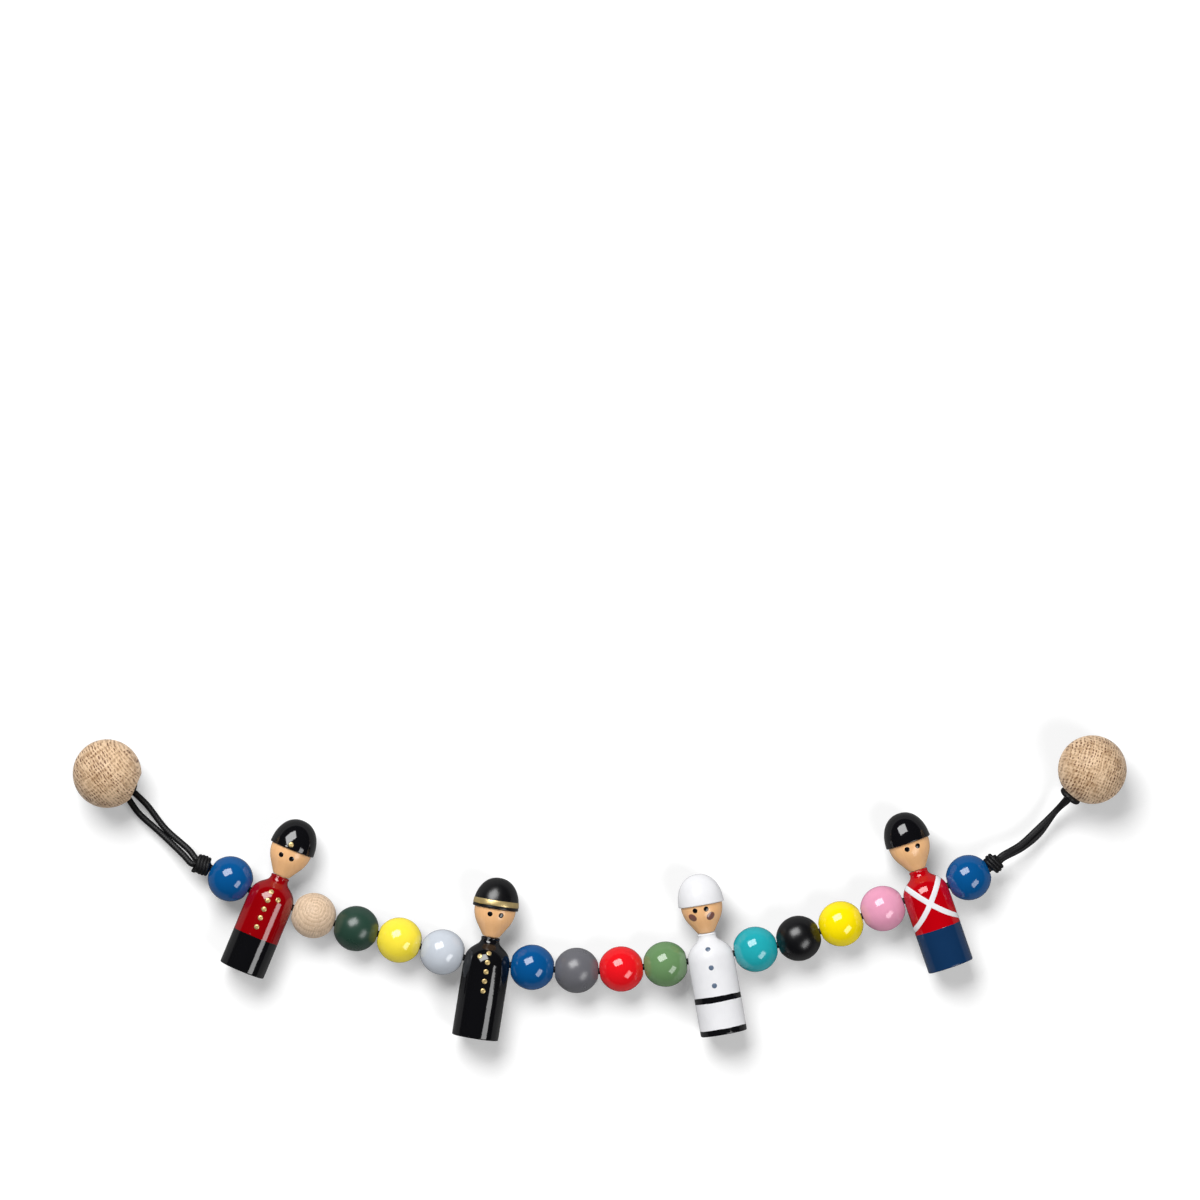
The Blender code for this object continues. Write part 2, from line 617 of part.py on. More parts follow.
def build():
    """Make the whole chain."""
    clear_scene()
    finish = make_finishes()
    root = add_empty("pram_chain", (0, 0, 0))
    guides = string_chain(root)
    ends = {1: LEFT_END, len(STATIONS): RIGHT_END}
    bead = bead_mesh()
    pieces = {
        "body": bored_body_mesh(),
        "head": figure_mesh("head", head_outline()),
        "cap": figure_mesh("cap", cap_outline()),
    }
    for number, (kind, name, _) in enumerate(STATIONS, start=1):
        guide = guides[number - 1]
        if number in ends:
            end_cord(number, ends[number], guide, finish)
        else:
            inner_cord(number, kind, guide, finish)
        if kind == BEAD:
            thing = add_object(name, bead, guide, finish[BEAD_FINISH[name]])
            thing.location.z = BEAD_LEVEL - CORD_LEVEL
            continue
        for piece, mesh in pieces.items():
            thing = add_object(f"{name}_{piece}", mesh, guide, finish[FIGURE_FINISH[name][piece]])
            thing.location.z = FIGURE_LEVEL - CORD_LEVEL
    ball = ball_mesh()
    for number, end in ends.items():
        seat = knot_guide(end, guides[number - 1])
        knot_winding(end, seat, finish)
        swing, guide, start, mouth, away = place_ball(end, seat, root)
        loop_strands(end, swing, start, mouth, away, finish)
        add_object(f"ball_{end['side']}", ball, guide, finish["natural_beech"])
        hitch(end, guide, finish)
    centre_on_surface(root)


build()
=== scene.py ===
"""Pram chain dressed over its CAD frame: lacquered beads and peg figures on braided elastic.

The frame gives every place: a bead or figure sits on its joint, with local X along the cord,
local Y towards the figures' caps and local Z up. Sizes are in metres.
"""

import json
import math

import bmesh
import bpy
from mathutils import Matrix, Vector


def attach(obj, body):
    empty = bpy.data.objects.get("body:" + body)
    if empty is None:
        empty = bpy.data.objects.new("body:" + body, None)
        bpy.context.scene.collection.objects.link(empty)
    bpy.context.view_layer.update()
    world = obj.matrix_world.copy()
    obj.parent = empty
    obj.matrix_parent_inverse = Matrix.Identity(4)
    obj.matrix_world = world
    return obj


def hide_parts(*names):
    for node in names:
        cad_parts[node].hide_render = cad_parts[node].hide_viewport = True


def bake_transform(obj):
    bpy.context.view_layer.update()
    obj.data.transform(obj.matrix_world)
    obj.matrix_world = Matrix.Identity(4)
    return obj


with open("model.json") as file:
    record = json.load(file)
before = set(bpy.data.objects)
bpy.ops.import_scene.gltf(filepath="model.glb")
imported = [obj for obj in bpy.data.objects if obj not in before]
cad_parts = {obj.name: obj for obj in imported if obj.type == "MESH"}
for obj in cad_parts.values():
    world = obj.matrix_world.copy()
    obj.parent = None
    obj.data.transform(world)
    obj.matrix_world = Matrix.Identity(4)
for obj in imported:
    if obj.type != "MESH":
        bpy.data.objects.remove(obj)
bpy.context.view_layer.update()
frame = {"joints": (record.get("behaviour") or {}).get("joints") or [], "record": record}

bl_info = {
    "name": "Pram chain",
    "version": (1, 0, 0),
    "blender": (4, 5, 0),
    "location": "View3D > Sidebar > Pram chain",
    "description": "Dresses the frame of a pram chain with beads, peg figures, elastic and end balls",
    "category": "Object",
}

MM = 0.001
UP = Vector((0.0, 0.0, 1.0))

JOINTS = {joint["name"]: joint for joint in frame["joints"]}
SLOT_COLOUR = {entry["slot"]: tuple(entry["base_color"]) for entry in frame["record"]["materials"]}

# Where things lie along the chain, from left to right
STATIONS = [
    "bead_01_blue", "sentry", "bead_02_natural", "bead_03_dark_green", "bead_04_yellow",
    "bead_05_pale_grey", "conductor", "bead_06_blue", "bead_07_slate", "bead_08_red", "bead_09_sage",
    "cook", "bead_10_teal", "bead_11_black", "bead_12_yellow", "bead_13_pink", "guard", "bead_14_blue",
]
FIGURES = ("sentry", "conductor", "cook", "guard")
CORD_LEVEL = 10.3 * MM

# Turned figure, heights measured up from its base
BASE_ROUND = 0.6 * MM
SHOULDER_START = 33.0 * MM
SHOULDER_RADIUS = 9.0 * MM
SHOULDER_TURN = math.radians(52.0)
NECK_COVE_RADIUS = 3.0 * MM
COLLAR_RADIUS = 4.05 * MM
COLLAR_HEIGHT = 1.1 * MM
BORE_HEIGHT = 34.0 * MM
HEAD_HEIGHT = 12.3 * MM
CHEEK_RADIUS = 13.0 * MM
CHIN_RADIUS = 3.65 * MM
CHIN_FLAT = 0.3 * MM
CHIN_EASE = 0.4 * MM
FIT_GAP = 0.3 * MM
NECK_PEG_RADIUS = 2.0 * MM
NECK_PEG_LENGTH = 5.0 * MM
CROWN_PEG_RADIUS = 3.5 * MM
CROWN_PEG_LENGTH = 4.0 * MM
HAT_FULLNESS = 2.18
DOME_START = 1.4 * MM
FIGURE_MOUTH = 0.35 * MM

# Bores, flats and knots
BEAD_SEAT = 9.3675 * MM
BEAD_BORE_RADIUS = 1.75 * MM
BEAD_BORE_RUN = 1.0 * MM
BEAD_EDGE = 0.25 * MM
FIGURE_BORE_RADIUS = 2.2 * MM
BALL_FLAT_RADIUS = 6.3 * MM
BALL_FLAT_EASE = 0.4 * MM
BALL_RIM_EASE = 0.5 * MM
SOCKET_RADIUS = 4.15 * MM
SOCKET_DEPTH = 9.0 * MM
SOCKET_EASE = 0.5 * MM
STRAND_SPACING = 3.1 * MM
STRAND_ENTRY = 2.0 * MM
KNOT_SEAT_GAP = 0.55 * MM
HITCH_RADIUS = 1.3 * MM
HITCH_CLEARANCE = 0.55 * MM

# Each end of the chain: its bead and cord, where its loop heads and how far it reaches, how the ball's
# mouth faces, and how far the knot's cut tail stands out or in.
# Wraps of the knot: how many, their pitch, their least radius, the swell in the middle, the lobe on a side.
# Route of the loop: share of the reach, sideways in mm, height in mm, turn of the pair of strands and
# its spread.
ENDS = {
    "left": {
        "bead": "bead_01", "outward": -1.0, "cord": "cord_01", "heading": 135.8,
        "reach": 44.05 * MM, "mouth_heading": -45.0, "mouth_drop": 46.0, "tail": 1.2 * MM,
        "wraps": (4, 1.4 * MM, 2.95 * MM, 0.5 * MM, 0.4 * MM), "knot_lean": 8.0, "strand_start": 1.6 * MM,
        "route": [(0.12, 0.9, 8.8, 15.0, 1.08), (0.42, 1.5, 4.6, 6.0, 0.92), (0.72, 0.9, 3.3, 0.0, 1.65)],
        "knot_pair_turn": 20.0, "mouth_pair_turn": 0.0,
    },
    "right": {
        "bead": "bead_14", "outward": 1.0, "cord": "cord_18", "heading": 45.1,
        "reach": 41.7 * MM, "mouth_heading": -129.0, "mouth_drop": 12.0, "tail": -0.9 * MM,
        "wraps": (3, 1.45 * MM, 2.45 * MM, 0.7 * MM, 1.3 * MM), "knot_lean": 12.0, "strand_start": 2.7 * MM,
        "route": [(0.22, -0.8, 8.0, 50.0, 0.92), (0.45, -1.6, 6.6, 40.0, 0.92),
                  (0.74, -0.6, 8.0, 86.0, 0.92)],
        "knot_pair_turn": 62.0, "mouth_pair_turn": 70.0,
    },
}

# Fineness of the meshes: segments round a piece, and steps along its rounds
BEAD_SEGMENTS = 72
BEAD_STEPS = 52
BEAD_EDGE_STEPS = 5
BALL_SEGMENTS = 80
BALL_STEPS = 56
COAT_SEGMENTS = 96
BASE_STEPS = 6
SHOULDER_STEPS = 12
HEAD_SEGMENTS = 80
CHEEK_STEPS = 20
HAT_SEGMENTS = 96
HAT_STEPS = 28
BORE_SEGMENTS = 32
ROUTE_STEPS = 40
BRAID_CARRIERS = 8

# Edges sharper than these stay crisp
TURNED_CREASE = math.radians(40.0)
BRAID_CREASE = math.radians(60.0)


def length(name, description, millimetres):
    """A length that a user may change."""
    return bpy.props.FloatProperty(name=name, description=description, default=millimetres * MM,
                                   min=0.0, precision=5, unit="LENGTH", subtype="DISTANCE")


def colour(name, description, value):
    """A paint colour that a user may change."""
    return bpy.props.FloatVectorProperty(name=name, description=description, default=value, size=3,
                                         min=0.0, max=1.0, subtype="COLOR")


class PramChainSizes(bpy.types.PropertyGroup):
    """Sizes of the chain's pieces."""

    bead_diameter: length("Bead", "Diameter of a bead", 20.0)
    ball_diameter: length("End ball", "Diameter of an end ball", 30.2)
    cord_diameter: length("Elastic", "Diameter of the braided elastic", 2.8)
    coat_diameter: length("Body", "Diameter of a figure's body", 20.6)
    head_diameter: length("Head", "Diameter of a figure's head under its hat", 18.3)
    hat_diameter: length("Hat", "Diameter of a figure's hat at its rim", 20.2)
    hat_height: length("Hat height", "Height of a figure's hat", 13.5)
    button_diameter: length("Button", "Diameter of a painted button", 2.3)
    eye_diameter: length("Eye", "Diameter of a painted eye", 2.3)
    strap_width: length("Cross-belt", "Width of the guard's painted cross-belts", 2.4)


class PramChainColours(bpy.types.PropertyGroup):
    """Colours of the chain's finishes."""

    blue_lacquer: colour("Blue", "Lacquer of the blue beads", (0.002, 0.0795, 0.26))
    dark_green_lacquer: colour("Dark green", "Lacquer of the green bead", (0.019, 0.053, 0.036))
    lemon_lacquer: colour("Lemon", "Lacquer of the paler yellow bead", (0.965, 0.785, 0.056))
    yellow_lacquer: colour("Yellow", "Lacquer of the deeper yellow bead", (0.98, 0.77, 0.002))
    pale_grey_lacquer: colour("Pale grey", "Lacquer of the pale grey bead", SLOT_COLOUR["pale_grey_lacquer"])
    slate_lacquer: colour("Slate", "Satin lacquer of the slate bead", SLOT_COLOUR["slate_lacquer"])
    red_lacquer: colour("Red", "Lacquer of the red bead", (0.81, 0.008, 0.014))
    sage_lacquer: colour("Sage", "Lacquer of the sage bead", (0.14, 0.268, 0.112))
    teal_lacquer: colour("Teal", "Lacquer of the teal bead", (0.017, 0.38, 0.43))
    black_lacquer: colour("Black", "Lacquer of the black bead, hats and coats", (0.004, 0.004, 0.005))
    pink_lacquer: colour("Pink", "Lacquer of the pink bead", (0.79, 0.335, 0.485))
    crimson_lacquer: colour("Crimson", "Lacquer of the sentry's tunic", (0.262, 0.0, 0.002))
    scarlet_lacquer: colour("Scarlet", "Lacquer of the guard's tunic", (0.485, 0.0, 0.004))
    navy_lacquer: colour("Navy", "Lacquer of the guard's trousers", (0.006, 0.033, 0.1))
    white_lacquer: colour("White", "Lacquer of the cook's clothes and the cross-belts", (0.78, 0.78, 0.8))
    beech_light: colour("Beech", "Early wood of the bare balls", (0.745, 0.53, 0.335))
    beech_dark: colour("Beech rings", "Late wood of the bare balls", (0.43, 0.265, 0.14))
    beech_fleck: colour("Beech flecks", "Short dark rays in the bare wood", (0.15, 0.06, 0.02))
    bead_light: colour("Bare bead", "Early wood of the bare bead", (0.84, 0.645, 0.46))
    bead_dark: colour("Bare bead rings", "Late wood of the bare bead", (0.5, 0.34, 0.215))
    face_light: colour("Face", "Clear lacquered wood of the heads", (0.9, 0.525, 0.26))
    face_dark: colour("Face grain", "Darker grain of the heads", (0.82, 0.45, 0.2))
    gold_paint: colour("Gold", "Metallic paint of the buttons and the hat band", (0.7, 0.53, 0.24))
    grey_paint: colour("Blue grey", "Paint of the cook's buttons", (0.115, 0.16, 0.235))
    cheek_paint: colour("Cheek", "Paint of the cook's cheeks", (0.2, 0.092, 0.075))
    elastic_cord: colour("Elastic", "Yarn of the braided elastic", (0.004, 0.004, 0.0048))


# Shader node groups

COLOUR_SOCKET = "NodeSocketColor"
NUMBER_SOCKET = "NodeSocketFloat"
VECTOR_SOCKET = "NodeSocketVector"
GROUP_RESULTS = (("Colour", COLOUR_SOCKET), ("Roughness", NUMBER_SOCKET), ("Height", NUMBER_SOCKET))
# Furthest shift of a pattern from one object to the next, in metres
FURTHEST_SHIFT = 7.0


def new_group(name, inputs):
    """A shader group with its named inputs, and a colour, a roughness and a height as its results."""
    tree = bpy.data.node_groups.new(name, "ShaderNodeTree")
    for socket, kind, value in inputs:
        made = tree.interface.new_socket(socket, in_out="INPUT", socket_type=kind)
        if value is not None:
            made.default_value = value
    for socket, kind in GROUP_RESULTS:
        tree.interface.new_socket(socket, in_out="OUTPUT", socket_type=kind)
    return tree, tree.nodes.new("NodeGroupInput").outputs


def put_out(tree, *results):
    """Link a group's colour, roughness and height, in that order."""
    outs = tree.nodes.new("NodeGroupOutput")
    for (socket, _), result in zip(GROUP_RESULTS, results):
        tree.links.new(result, outs.inputs[socket])


def add_node(tree, kind, **values):
    """A node with its sockets set or linked: a socket as value makes a link."""
    node = tree.nodes.new(kind)
    for key, value in values.items():
        if hasattr(node, key):
            setattr(node, key, value)
            continue
        name = key.replace("_", " ")
        socket = node.inputs[int(name[1:])] if name[1:].isdigit() else node.inputs[name]
        if isinstance(value, bpy.types.NodeSocket):
            tree.links.new(value, socket)
        else:
            socket.default_value = value
    return node


def maths(tree, operation, first, second=0.0, third=0.0):
    """The result of a Math node."""
    node = add_node(tree, "ShaderNodeMath", operation=operation, i0=first, i1=second, i2=third)
    return node.outputs[0]


def spread(tree, value, low, high, to_low, to_high):
    """A value mapped smoothly from one range to another and held within it."""
    node = add_node(tree, "ShaderNodeMapRange", interpolation_type="SMOOTHSTEP", Value=value, From_Min=low,
                    From_Max=high, To_Min=to_low, To_Max=to_high)
    return node.outputs["Result"]


def uneven(tree, middle, wander, amount):
    """A value that wanders about its middle by an amount."""
    low = maths(tree, "SUBTRACT", middle, amount / 2)
    return maths(tree, "MULTIPLY_ADD", wander, amount, low)


def mixed(tree, share, first, second):
    """A colour between two, by its share of the second."""
    node = add_node(tree, "ShaderNodeMix", data_type="RGBA", i0=share, i6=first, i7=second)
    return node.outputs[2]


def scattered_place(tree):
    """Object coordinates moved by a different amount for each object."""
    place = tree.nodes.new("ShaderNodeTexCoord").outputs["Object"]
    chance = tree.nodes.new("ShaderNodeObjectInfo").outputs["Random"]
    shift = maths(tree, "MULTIPLY", chance, FURTHEST_SHIFT)
    return add_node(tree, "ShaderNodeVectorMath", operation="ADD", i0=place, i1=shift).outputs[0]


def noise(tree, place, scale, detail=2.0, roughness=0.5):
    """Noise at a number of lumps to the metre."""
    node = add_node(tree, "ShaderNodeTexNoise", Vector=place, Scale=scale, Detail=detail, Roughness=roughness)
    return node.outputs["Fac"]


def stretched(tree, place, scale):
    """Coordinates scaled by different amounts along their axes."""
    return add_node(tree, "ShaderNodeVectorMath", operation="MULTIPLY", i0=place, i1=scale).outputs[0]


def lacquer_group():
    """Brushed lacquer on turned wood: mottle, grain that shows through, scuffs and orange peel."""
    name = "Lacquer on turned wood"
    found = bpy.data.node_groups.get(name)
    if found:
        return found
    tree, ins = new_group(name, [
        ("Colour", COLOUR_SOCKET, None), ("Mottle", NUMBER_SOCKET, 0.1), ("Grain", NUMBER_SOCKET, 0.05),
        ("Roughness", NUMBER_SOCKET, 0.13), ("Scuffs", NUMBER_SOCKET, 0.06)])
    place = scattered_place(tree)
    cloud = noise(tree, place, 130.0, detail=3.0)
    fibre = noise(tree, stretched(tree, place, (1.0, 0.07, 1.0)), 2400.0, roughness=0.6)
    peel = noise(tree, place, 900.0, detail=1.0)
    scuff = noise(tree, stretched(tree, place, (1.0, 0.25, 0.6)), 650.0, detail=4.0, roughness=0.7)
    mottled = maths(tree, "MULTIPLY", maths(tree, "SUBTRACT", cloud, 0.5), ins["Mottle"])
    grained = maths(tree, "MULTIPLY", maths(tree, "SUBTRACT", fibre, 0.5), ins["Grain"])
    value = maths(tree, "ADD", maths(tree, "ADD", mottled, grained), 1.0)
    tinted = add_node(tree, "ShaderNodeHueSaturation", Value=value, Color=ins["Colour"])
    worn = maths(tree, "MULTIPLY", spread(tree, scuff, 0.56, 0.74, 0.0, 1.0), ins["Scuffs"])
    rough = maths(tree, "ADD", uneven(tree, ins["Roughness"], cloud, 0.05), worn)
    height = maths(tree, "MULTIPLY_ADD", fibre, 0.35, peel)
    put_out(tree, tinted.outputs["Color"], rough, height)
    return tree


def beech_group():
    """Beech: growth rings about Z, fine fibres along it, and short dark ray flecks."""
    name = "Beech grain"
    found = bpy.data.node_groups.get(name)
    if found:
        return found
    tree, ins = new_group(name, [
        ("Vector", VECTOR_SOCKET, None), ("Light", COLOUR_SOCKET, None), ("Dark", COLOUR_SOCKET, None),
        ("Fleck", COLOUR_SOCKET, None), ("Flecks", NUMBER_SOCKET, 0.8), ("Ray Rows", VECTOR_SOCKET, None),
        ("Rings", NUMBER_SOCKET, 0.5), ("Ring Scale", NUMBER_SOCKET, 105.0),
        ("Roughness", NUMBER_SOCKET, 0.5)])
    place = ins["Vector"]
    rings = add_node(tree, "ShaderNodeTexWave", wave_type="RINGS", rings_direction="Z", wave_profile="SAW",
                     Vector=place, Scale=ins["Ring Scale"], Distortion=1.4, Detail=2.0, Detail_Scale=1.2)
    fibre = noise(tree, stretched(tree, place, (1.0, 1.0, 0.05)), 2600.0, detail=3.0, roughness=0.65)
    cloud = noise(tree, place, 95.0)
    wander = maths(tree, "MULTIPLY", noise(tree, place, 210.0), 1.6)
    rows = add_node(tree, "ShaderNodeVectorMath", operation="ADD",
                    i0=stretched(tree, place, ins["Ray Rows"]), i1=wander).outputs[0]
    # Each cell of the rows holds one oval ray, of its own depth
    cells = add_node(tree, "ShaderNodeTexVoronoi", feature="F1", Scale=1.0, Randomness=0.38, Vector=rows)
    chance = add_node(tree, "ShaderNodeSeparateColor", Color=cells.outputs["Color"])
    within = add_node(tree, "ShaderNodeVectorMath", operation="SUBTRACT", i0=rows,
                      i1=cells.outputs["Position"]).outputs[0]
    oval = add_node(tree, "ShaderNodeVectorMath", operation="LENGTH",
                    i0=stretched(tree, within, (3.5, 2.2, 0.0)))
    ray = spread(tree, oval.outputs["Value"], 0.45, 1.15, 1.0, 0.0)
    thick = spread(tree, cloud, 0.36, 0.58, 0.5, 1.0)
    deep = maths(tree, "MULTIPLY", thick, maths(tree, "MULTIPLY_ADD", chance.outputs["Red"], 0.7, 0.3))
    fleck = maths(tree, "MULTIPLY", maths(tree, "MULTIPLY", ray, deep), ins["Flecks"])
    ringed = maths(tree, "MULTIPLY", rings.outputs["Fac"], ins["Rings"])
    # Streaks both ways between the rays
    lengthways = noise(tree, stretched(tree, rows, (1.5, 0.2, 0.6)), 1.0, roughness=0.6)
    crossways = noise(tree, stretched(tree, rows, (0.2, 1.5, 0.6)), 1.0, roughness=0.6)
    woven = maths(tree, "SUBTRACT", maths(tree, "ADD", lengthways, crossways), 1.0)
    streaked = maths(tree, "MULTIPLY", maths(tree, "MULTIPLY", woven, 2.0), ins["Flecks"])
    darkness = maths(tree, "ADD", maths(tree, "MULTIPLY_ADD", fibre, 0.55, streaked), ringed)
    wood = mixed(tree, darkness, ins["Light"], ins["Dark"])
    flecked = mixed(tree, fleck, wood, ins["Fleck"])
    height = maths(tree, "SUBTRACT", fibre, maths(tree, "MULTIPLY", fleck, 0.8))
    put_out(tree, flecked, uneven(tree, ins["Roughness"], fibre, 0.16), height)
    return tree


def braid_group():
    """Braided yarn over the elastic, laid by the tube's own coordinates, with painted shade between its
    crossings.
    """
    name = "Elastic braid"
    found = bpy.data.node_groups.get(name)
    if found:
        return found
    # The last input sets how strongly the painted shade and highlight of the weave show in the yarn's colour
    tree, ins = new_group(name, [
        ("Colour", COLOUR_SOCKET, None), ("Carriers", NUMBER_SOCKET, float(BRAID_CARRIERS)),
        ("Contrast", NUMBER_SOCKET, 0.7)])
    places = tree.nodes.new("ShaderNodeTexCoord").outputs
    along = add_node(tree, "ShaderNodeSeparateXYZ", Vector=places["UV"])
    around = maths(tree, "MULTIPLY", along.outputs["X"], ins["Carriers"])
    lengthways = maths(tree, "MULTIPLY", along.outputs["Y"], ins["Carriers"])
    turn = 2 * math.pi
    left = maths(tree, "SINE", maths(tree, "MULTIPLY", maths(tree, "ADD", around, lengthways), turn))
    right = maths(tree, "SINE", maths(tree, "MULTIPLY", maths(tree, "SUBTRACT", around, lengthways), turn))
    weave = maths(tree, "MULTIPLY_ADD", maths(tree, "ADD", left, right), 0.25, 0.5)
    fuzz = noise(tree, places["Object"], 4200.0, roughness=0.7)
    yarn = maths(tree, "MULTIPLY_ADD", fuzz, 0.8, weave)
    # Painted shade and highlight: the yarn is darker in the valleys between crossings and lighter on their
    # crests, following the weave, with random fuzz tone on top
    shade_on_weave = maths(tree, "MULTIPLY_ADD", yarn, ins["Contrast"], 0.45)
    tinted = add_node(tree, "ShaderNodeHueSaturation", Value=shade_on_weave, Color=ins["Colour"])
    rough = maths(tree, "MULTIPLY_ADD", fuzz, 0.2, 0.36)
    height = maths(tree, "MULTIPLY_ADD", fuzz, 0.4, weave)
    put_out(tree, tinted.outputs["Color"], rough, height)
    return tree


# Materials

# Roughness, scuffs, relief and refraction of the kinds of lacquer
GLOSS_LOOK = (0.07, 0.04, 0.05, 1.6)
SATIN_LOOK = (0.28, 0.03, 0.02, 1.56)
CHALK_LOOK = (0.2, 0.02, 0.02, 1.25)
SATIN_FINISHES = ("slate_lacquer", "dark_green_lacquer")
CHALK_FINISHES = ("white_lacquer",)
# Bare sanded wood scatters light in its fine nap
SANDED = {"IOR": 1.45, "Sheen Weight": 0.12, "Sheen Roughness": 0.5}
# Strength and depth of the relief
GOLD_RELIEF = (0.08, 0.2 * MM)
WOOD_RELIEF = (0.12, 0.25 * MM)
BRAID_RELIEF = (0.5, 0.15 * MM)
LACQUER_DEPTH = 0.3 * MM


def chosen(name):
    """One of the user's colours, opaque."""
    return (*getattr(bpy.context.scene.pram_chain_colours, name), 1.0)


def start_material(name, group, values, relief, shader_values):
    """A Principled material fed by one group, with its relief and its constant sockets."""
    material = bpy.data.materials.new(name)
    material.use_nodes = True
    tree = material.node_tree
    shader = tree.nodes["Principled BSDF"]
    for socket, value in shader_values.items():
        shader.inputs[socket].default_value = value
    effect = tree.nodes.new("ShaderNodeGroup")
    effect.node_tree = group
    for socket, value in values.items():
        effect.inputs[socket].default_value = value
    strength, depth = relief
    bump = add_node(tree, "ShaderNodeBump", Strength=strength, Distance=depth,
                    Height=effect.outputs["Height"])
    tree.links.new(effect.outputs["Colour"], shader.inputs["Base Color"])
    tree.links.new(effect.outputs["Roughness"], shader.inputs["Roughness"])
    tree.links.new(bump.outputs["Normal"], shader.inputs["Normal"])
    return material, effect


def lacquer(finish, satin=False):
    """A lacquer finish by the name of its colour: glossy, satin or, for white, chalky."""
    satin = satin or finish in SATIN_FINISHES
    name = finish.replace("_", " ") + (" satin coat" if satin else " coat")
    made = bpy.data.materials.get(name)
    if made:
        return made
    look = SATIN_LOOK if satin else CHALK_LOOK if finish in CHALK_FINISHES else GLOSS_LOOK
    roughness, scuffs, relief, ior = look
    values = {"Colour": chosen(finish), "Mottle": 0.12, "Grain": 0.06, "Roughness": roughness,
              "Scuffs": scuffs}
    made, _ = start_material(name, lacquer_group(), values, (relief, LACQUER_DEPTH), {"IOR": ior})
    return made


def gold():
    """Metallic gold paint, a little uneven."""
    name = "gold paint"
    made = bpy.data.materials.get(name)
    if made:
        return made
    values = {"Colour": chosen("gold_paint"), "Mottle": 0.4, "Grain": 0.3, "Roughness": 0.36, "Scuffs": 0.1}
    made, _ = start_material(name, lacquer_group(), values, GOLD_RELIEF, {"Metallic": 0.7})
    return made


def beech(name, tones, look, shader_values, place, turn):
    """Beech in its tones for wood, rings and flecks, its grain placed and turned within the piece."""
    made = bpy.data.materials.get(name)
    if made:
        return made
    light, dark, fleck = tones
    values = {"Light": chosen(light), "Dark": chosen(dark), "Fleck": chosen(fleck), **look}
    made, effect = start_material(name, beech_group(), values, WOOD_RELIEF, shader_values)
    tree = made.node_tree
    mapping = add_node(tree, "ShaderNodeMapping", vector_type="TEXTURE", Location=place,
                       Rotation=[math.radians(angle) for angle in turn],
                       Vector=tree.nodes.new("ShaderNodeTexCoord").outputs["Object"])
    tree.links.new(mapping.outputs["Vector"], effect.inputs["Vector"])
    return made


def bare_ball_wood(name, place, turn, rows):
    """Bare sanded beech of an end ball, with rows of dark rays."""
    look = {"Flecks": 1.35, "Ray Rows": rows, "Rings": 0.12, "Ring Scale": 70.0, "Roughness": 0.55}
    return beech(name, ("beech_light", "beech_dark", "beech_fleck"), look, SANDED, place, turn)


def bare_bead_wood():
    """Paler bare beech of the bead, its rings seen end on."""
    look = {"Flecks": 0.34, "Ray Rows": (900.0, 620.0, 620.0), "Rings": 0.48, "Ring Scale": 205.0,
            "Roughness": 0.55}
    return beech("bare beech bead", ("bead_light", "bead_dark", "beech_fleck"), look, SANDED,
                 (0.0, 0.0, 0.0), (-23.0, 0.0, 0.0))


def face_wood():
    """Clear lacquered wood of the heads, grain running from chin to crown."""
    look = {"Flecks": 0.2, "Ray Rows": (1100.0, 1100.0, 380.0), "Rings": 0.25, "Ring Scale": 90.0,
            "Roughness": 0.2}
    return beech("clear lacquered face", ("face_light", "face_dark", "face_dark"), look, {"IOR": 1.5},
                 (0.02, 0.0, 0.013), (90.0, 0.0, 0.0))


def elastic():
    """Black braided elastic."""
    name = "braided elastic"
    made = bpy.data.materials.get(name)
    if made:
        return made
    yarn = {"Colour": chosen("elastic_cord")}
    made, _ = start_material(name, braid_group(), yarn, BRAID_RELIEF, {"IOR": 1.38})
    return made


# Meshes

# Least radius of a ring of points, and least run between two points of a line
ON_AXIS = 1e-4 * MM
LEAST_RUN = 1e-12
# Waves of a hand-painted edge: their height, their number round a piece, and their shift with its seed
PAINTED_WAVES = ((0.5, 2, 1.0), (0.3, 5, 2.3), (0.2, 11, 4.1))
# A line is nearly upright where its cross product with UP is shorter than this
NEARLY_UPRIGHT = 0.1
# Height of a cord's rounded cut end, as a share of its radius
CUT_END = 0.25


def finished_object(name, mesh, place, *materials):
    """Link a mesh at its place, with its finishes, and keep its coloured light off the table."""
    mesh.name = name
    for material in materials:
        mesh.materials.append(material)
    thing = bpy.data.objects.new(name, mesh)
    bpy.context.collection.objects.link(thing)
    thing.matrix_world = place
    thing.visible_diffuse = False
    return thing


def stand_for(thing, body, node):
    """Let a piece move with a body and take the place of a node."""
    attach(thing, body)
    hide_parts(node)


def turn_outward(mesh):
    """Point the faces of a mesh outward."""
    shape = bmesh.new()
    shape.from_mesh(mesh)
    bmesh.ops.recalc_face_normals(shape, faces=shape.faces[:])
    shape.to_mesh(mesh)
    shape.free()


def smooth_but_creased(mesh, crease):
    """Shade a mesh smooth, and keep the edges sharper than the crease."""
    mesh.shade_smooth()
    mesh.set_sharp_from_angle(angle=crease)
    return mesh


def mesh_from(points, faces, zones=None):
    """A smooth mesh with its normals outward, and each face in its zone of paint."""
    mesh = bpy.data.meshes.new("shape")
    mesh.from_pydata([tuple(point) for point in points], [], faces)
    if zones:
        mesh.polygons.foreach_set("material_index", zones)
    turn_outward(mesh)
    return smooth_but_creased(mesh, TURNED_CREASE)


def round_angles(count):
    """Angles at even steps round a full turn."""
    return [2 * math.pi * k / count for k in range(count)]


def band_faces(low, high, count):
    """Faces between two rings of points, given the first point of each."""
    turns = [(k, (k + 1) % count) for k in range(count)]
    return [(low + k, low + m, high + m, high + k) for k, m in turns]


def fan_faces(ring, tip, count):
    """Faces between a ring of points, given its first, and a tip."""
    return [(ring + k, ring + (k + 1) % count, tip) for k in range(count)]


def ripple(angle, seed):
    """An uneven hand-painted edge, from -1 to 1 round a turned piece."""
    return sum(height * math.sin(number * angle + shift * seed) for height, number, shift in PAINTED_WAVES)


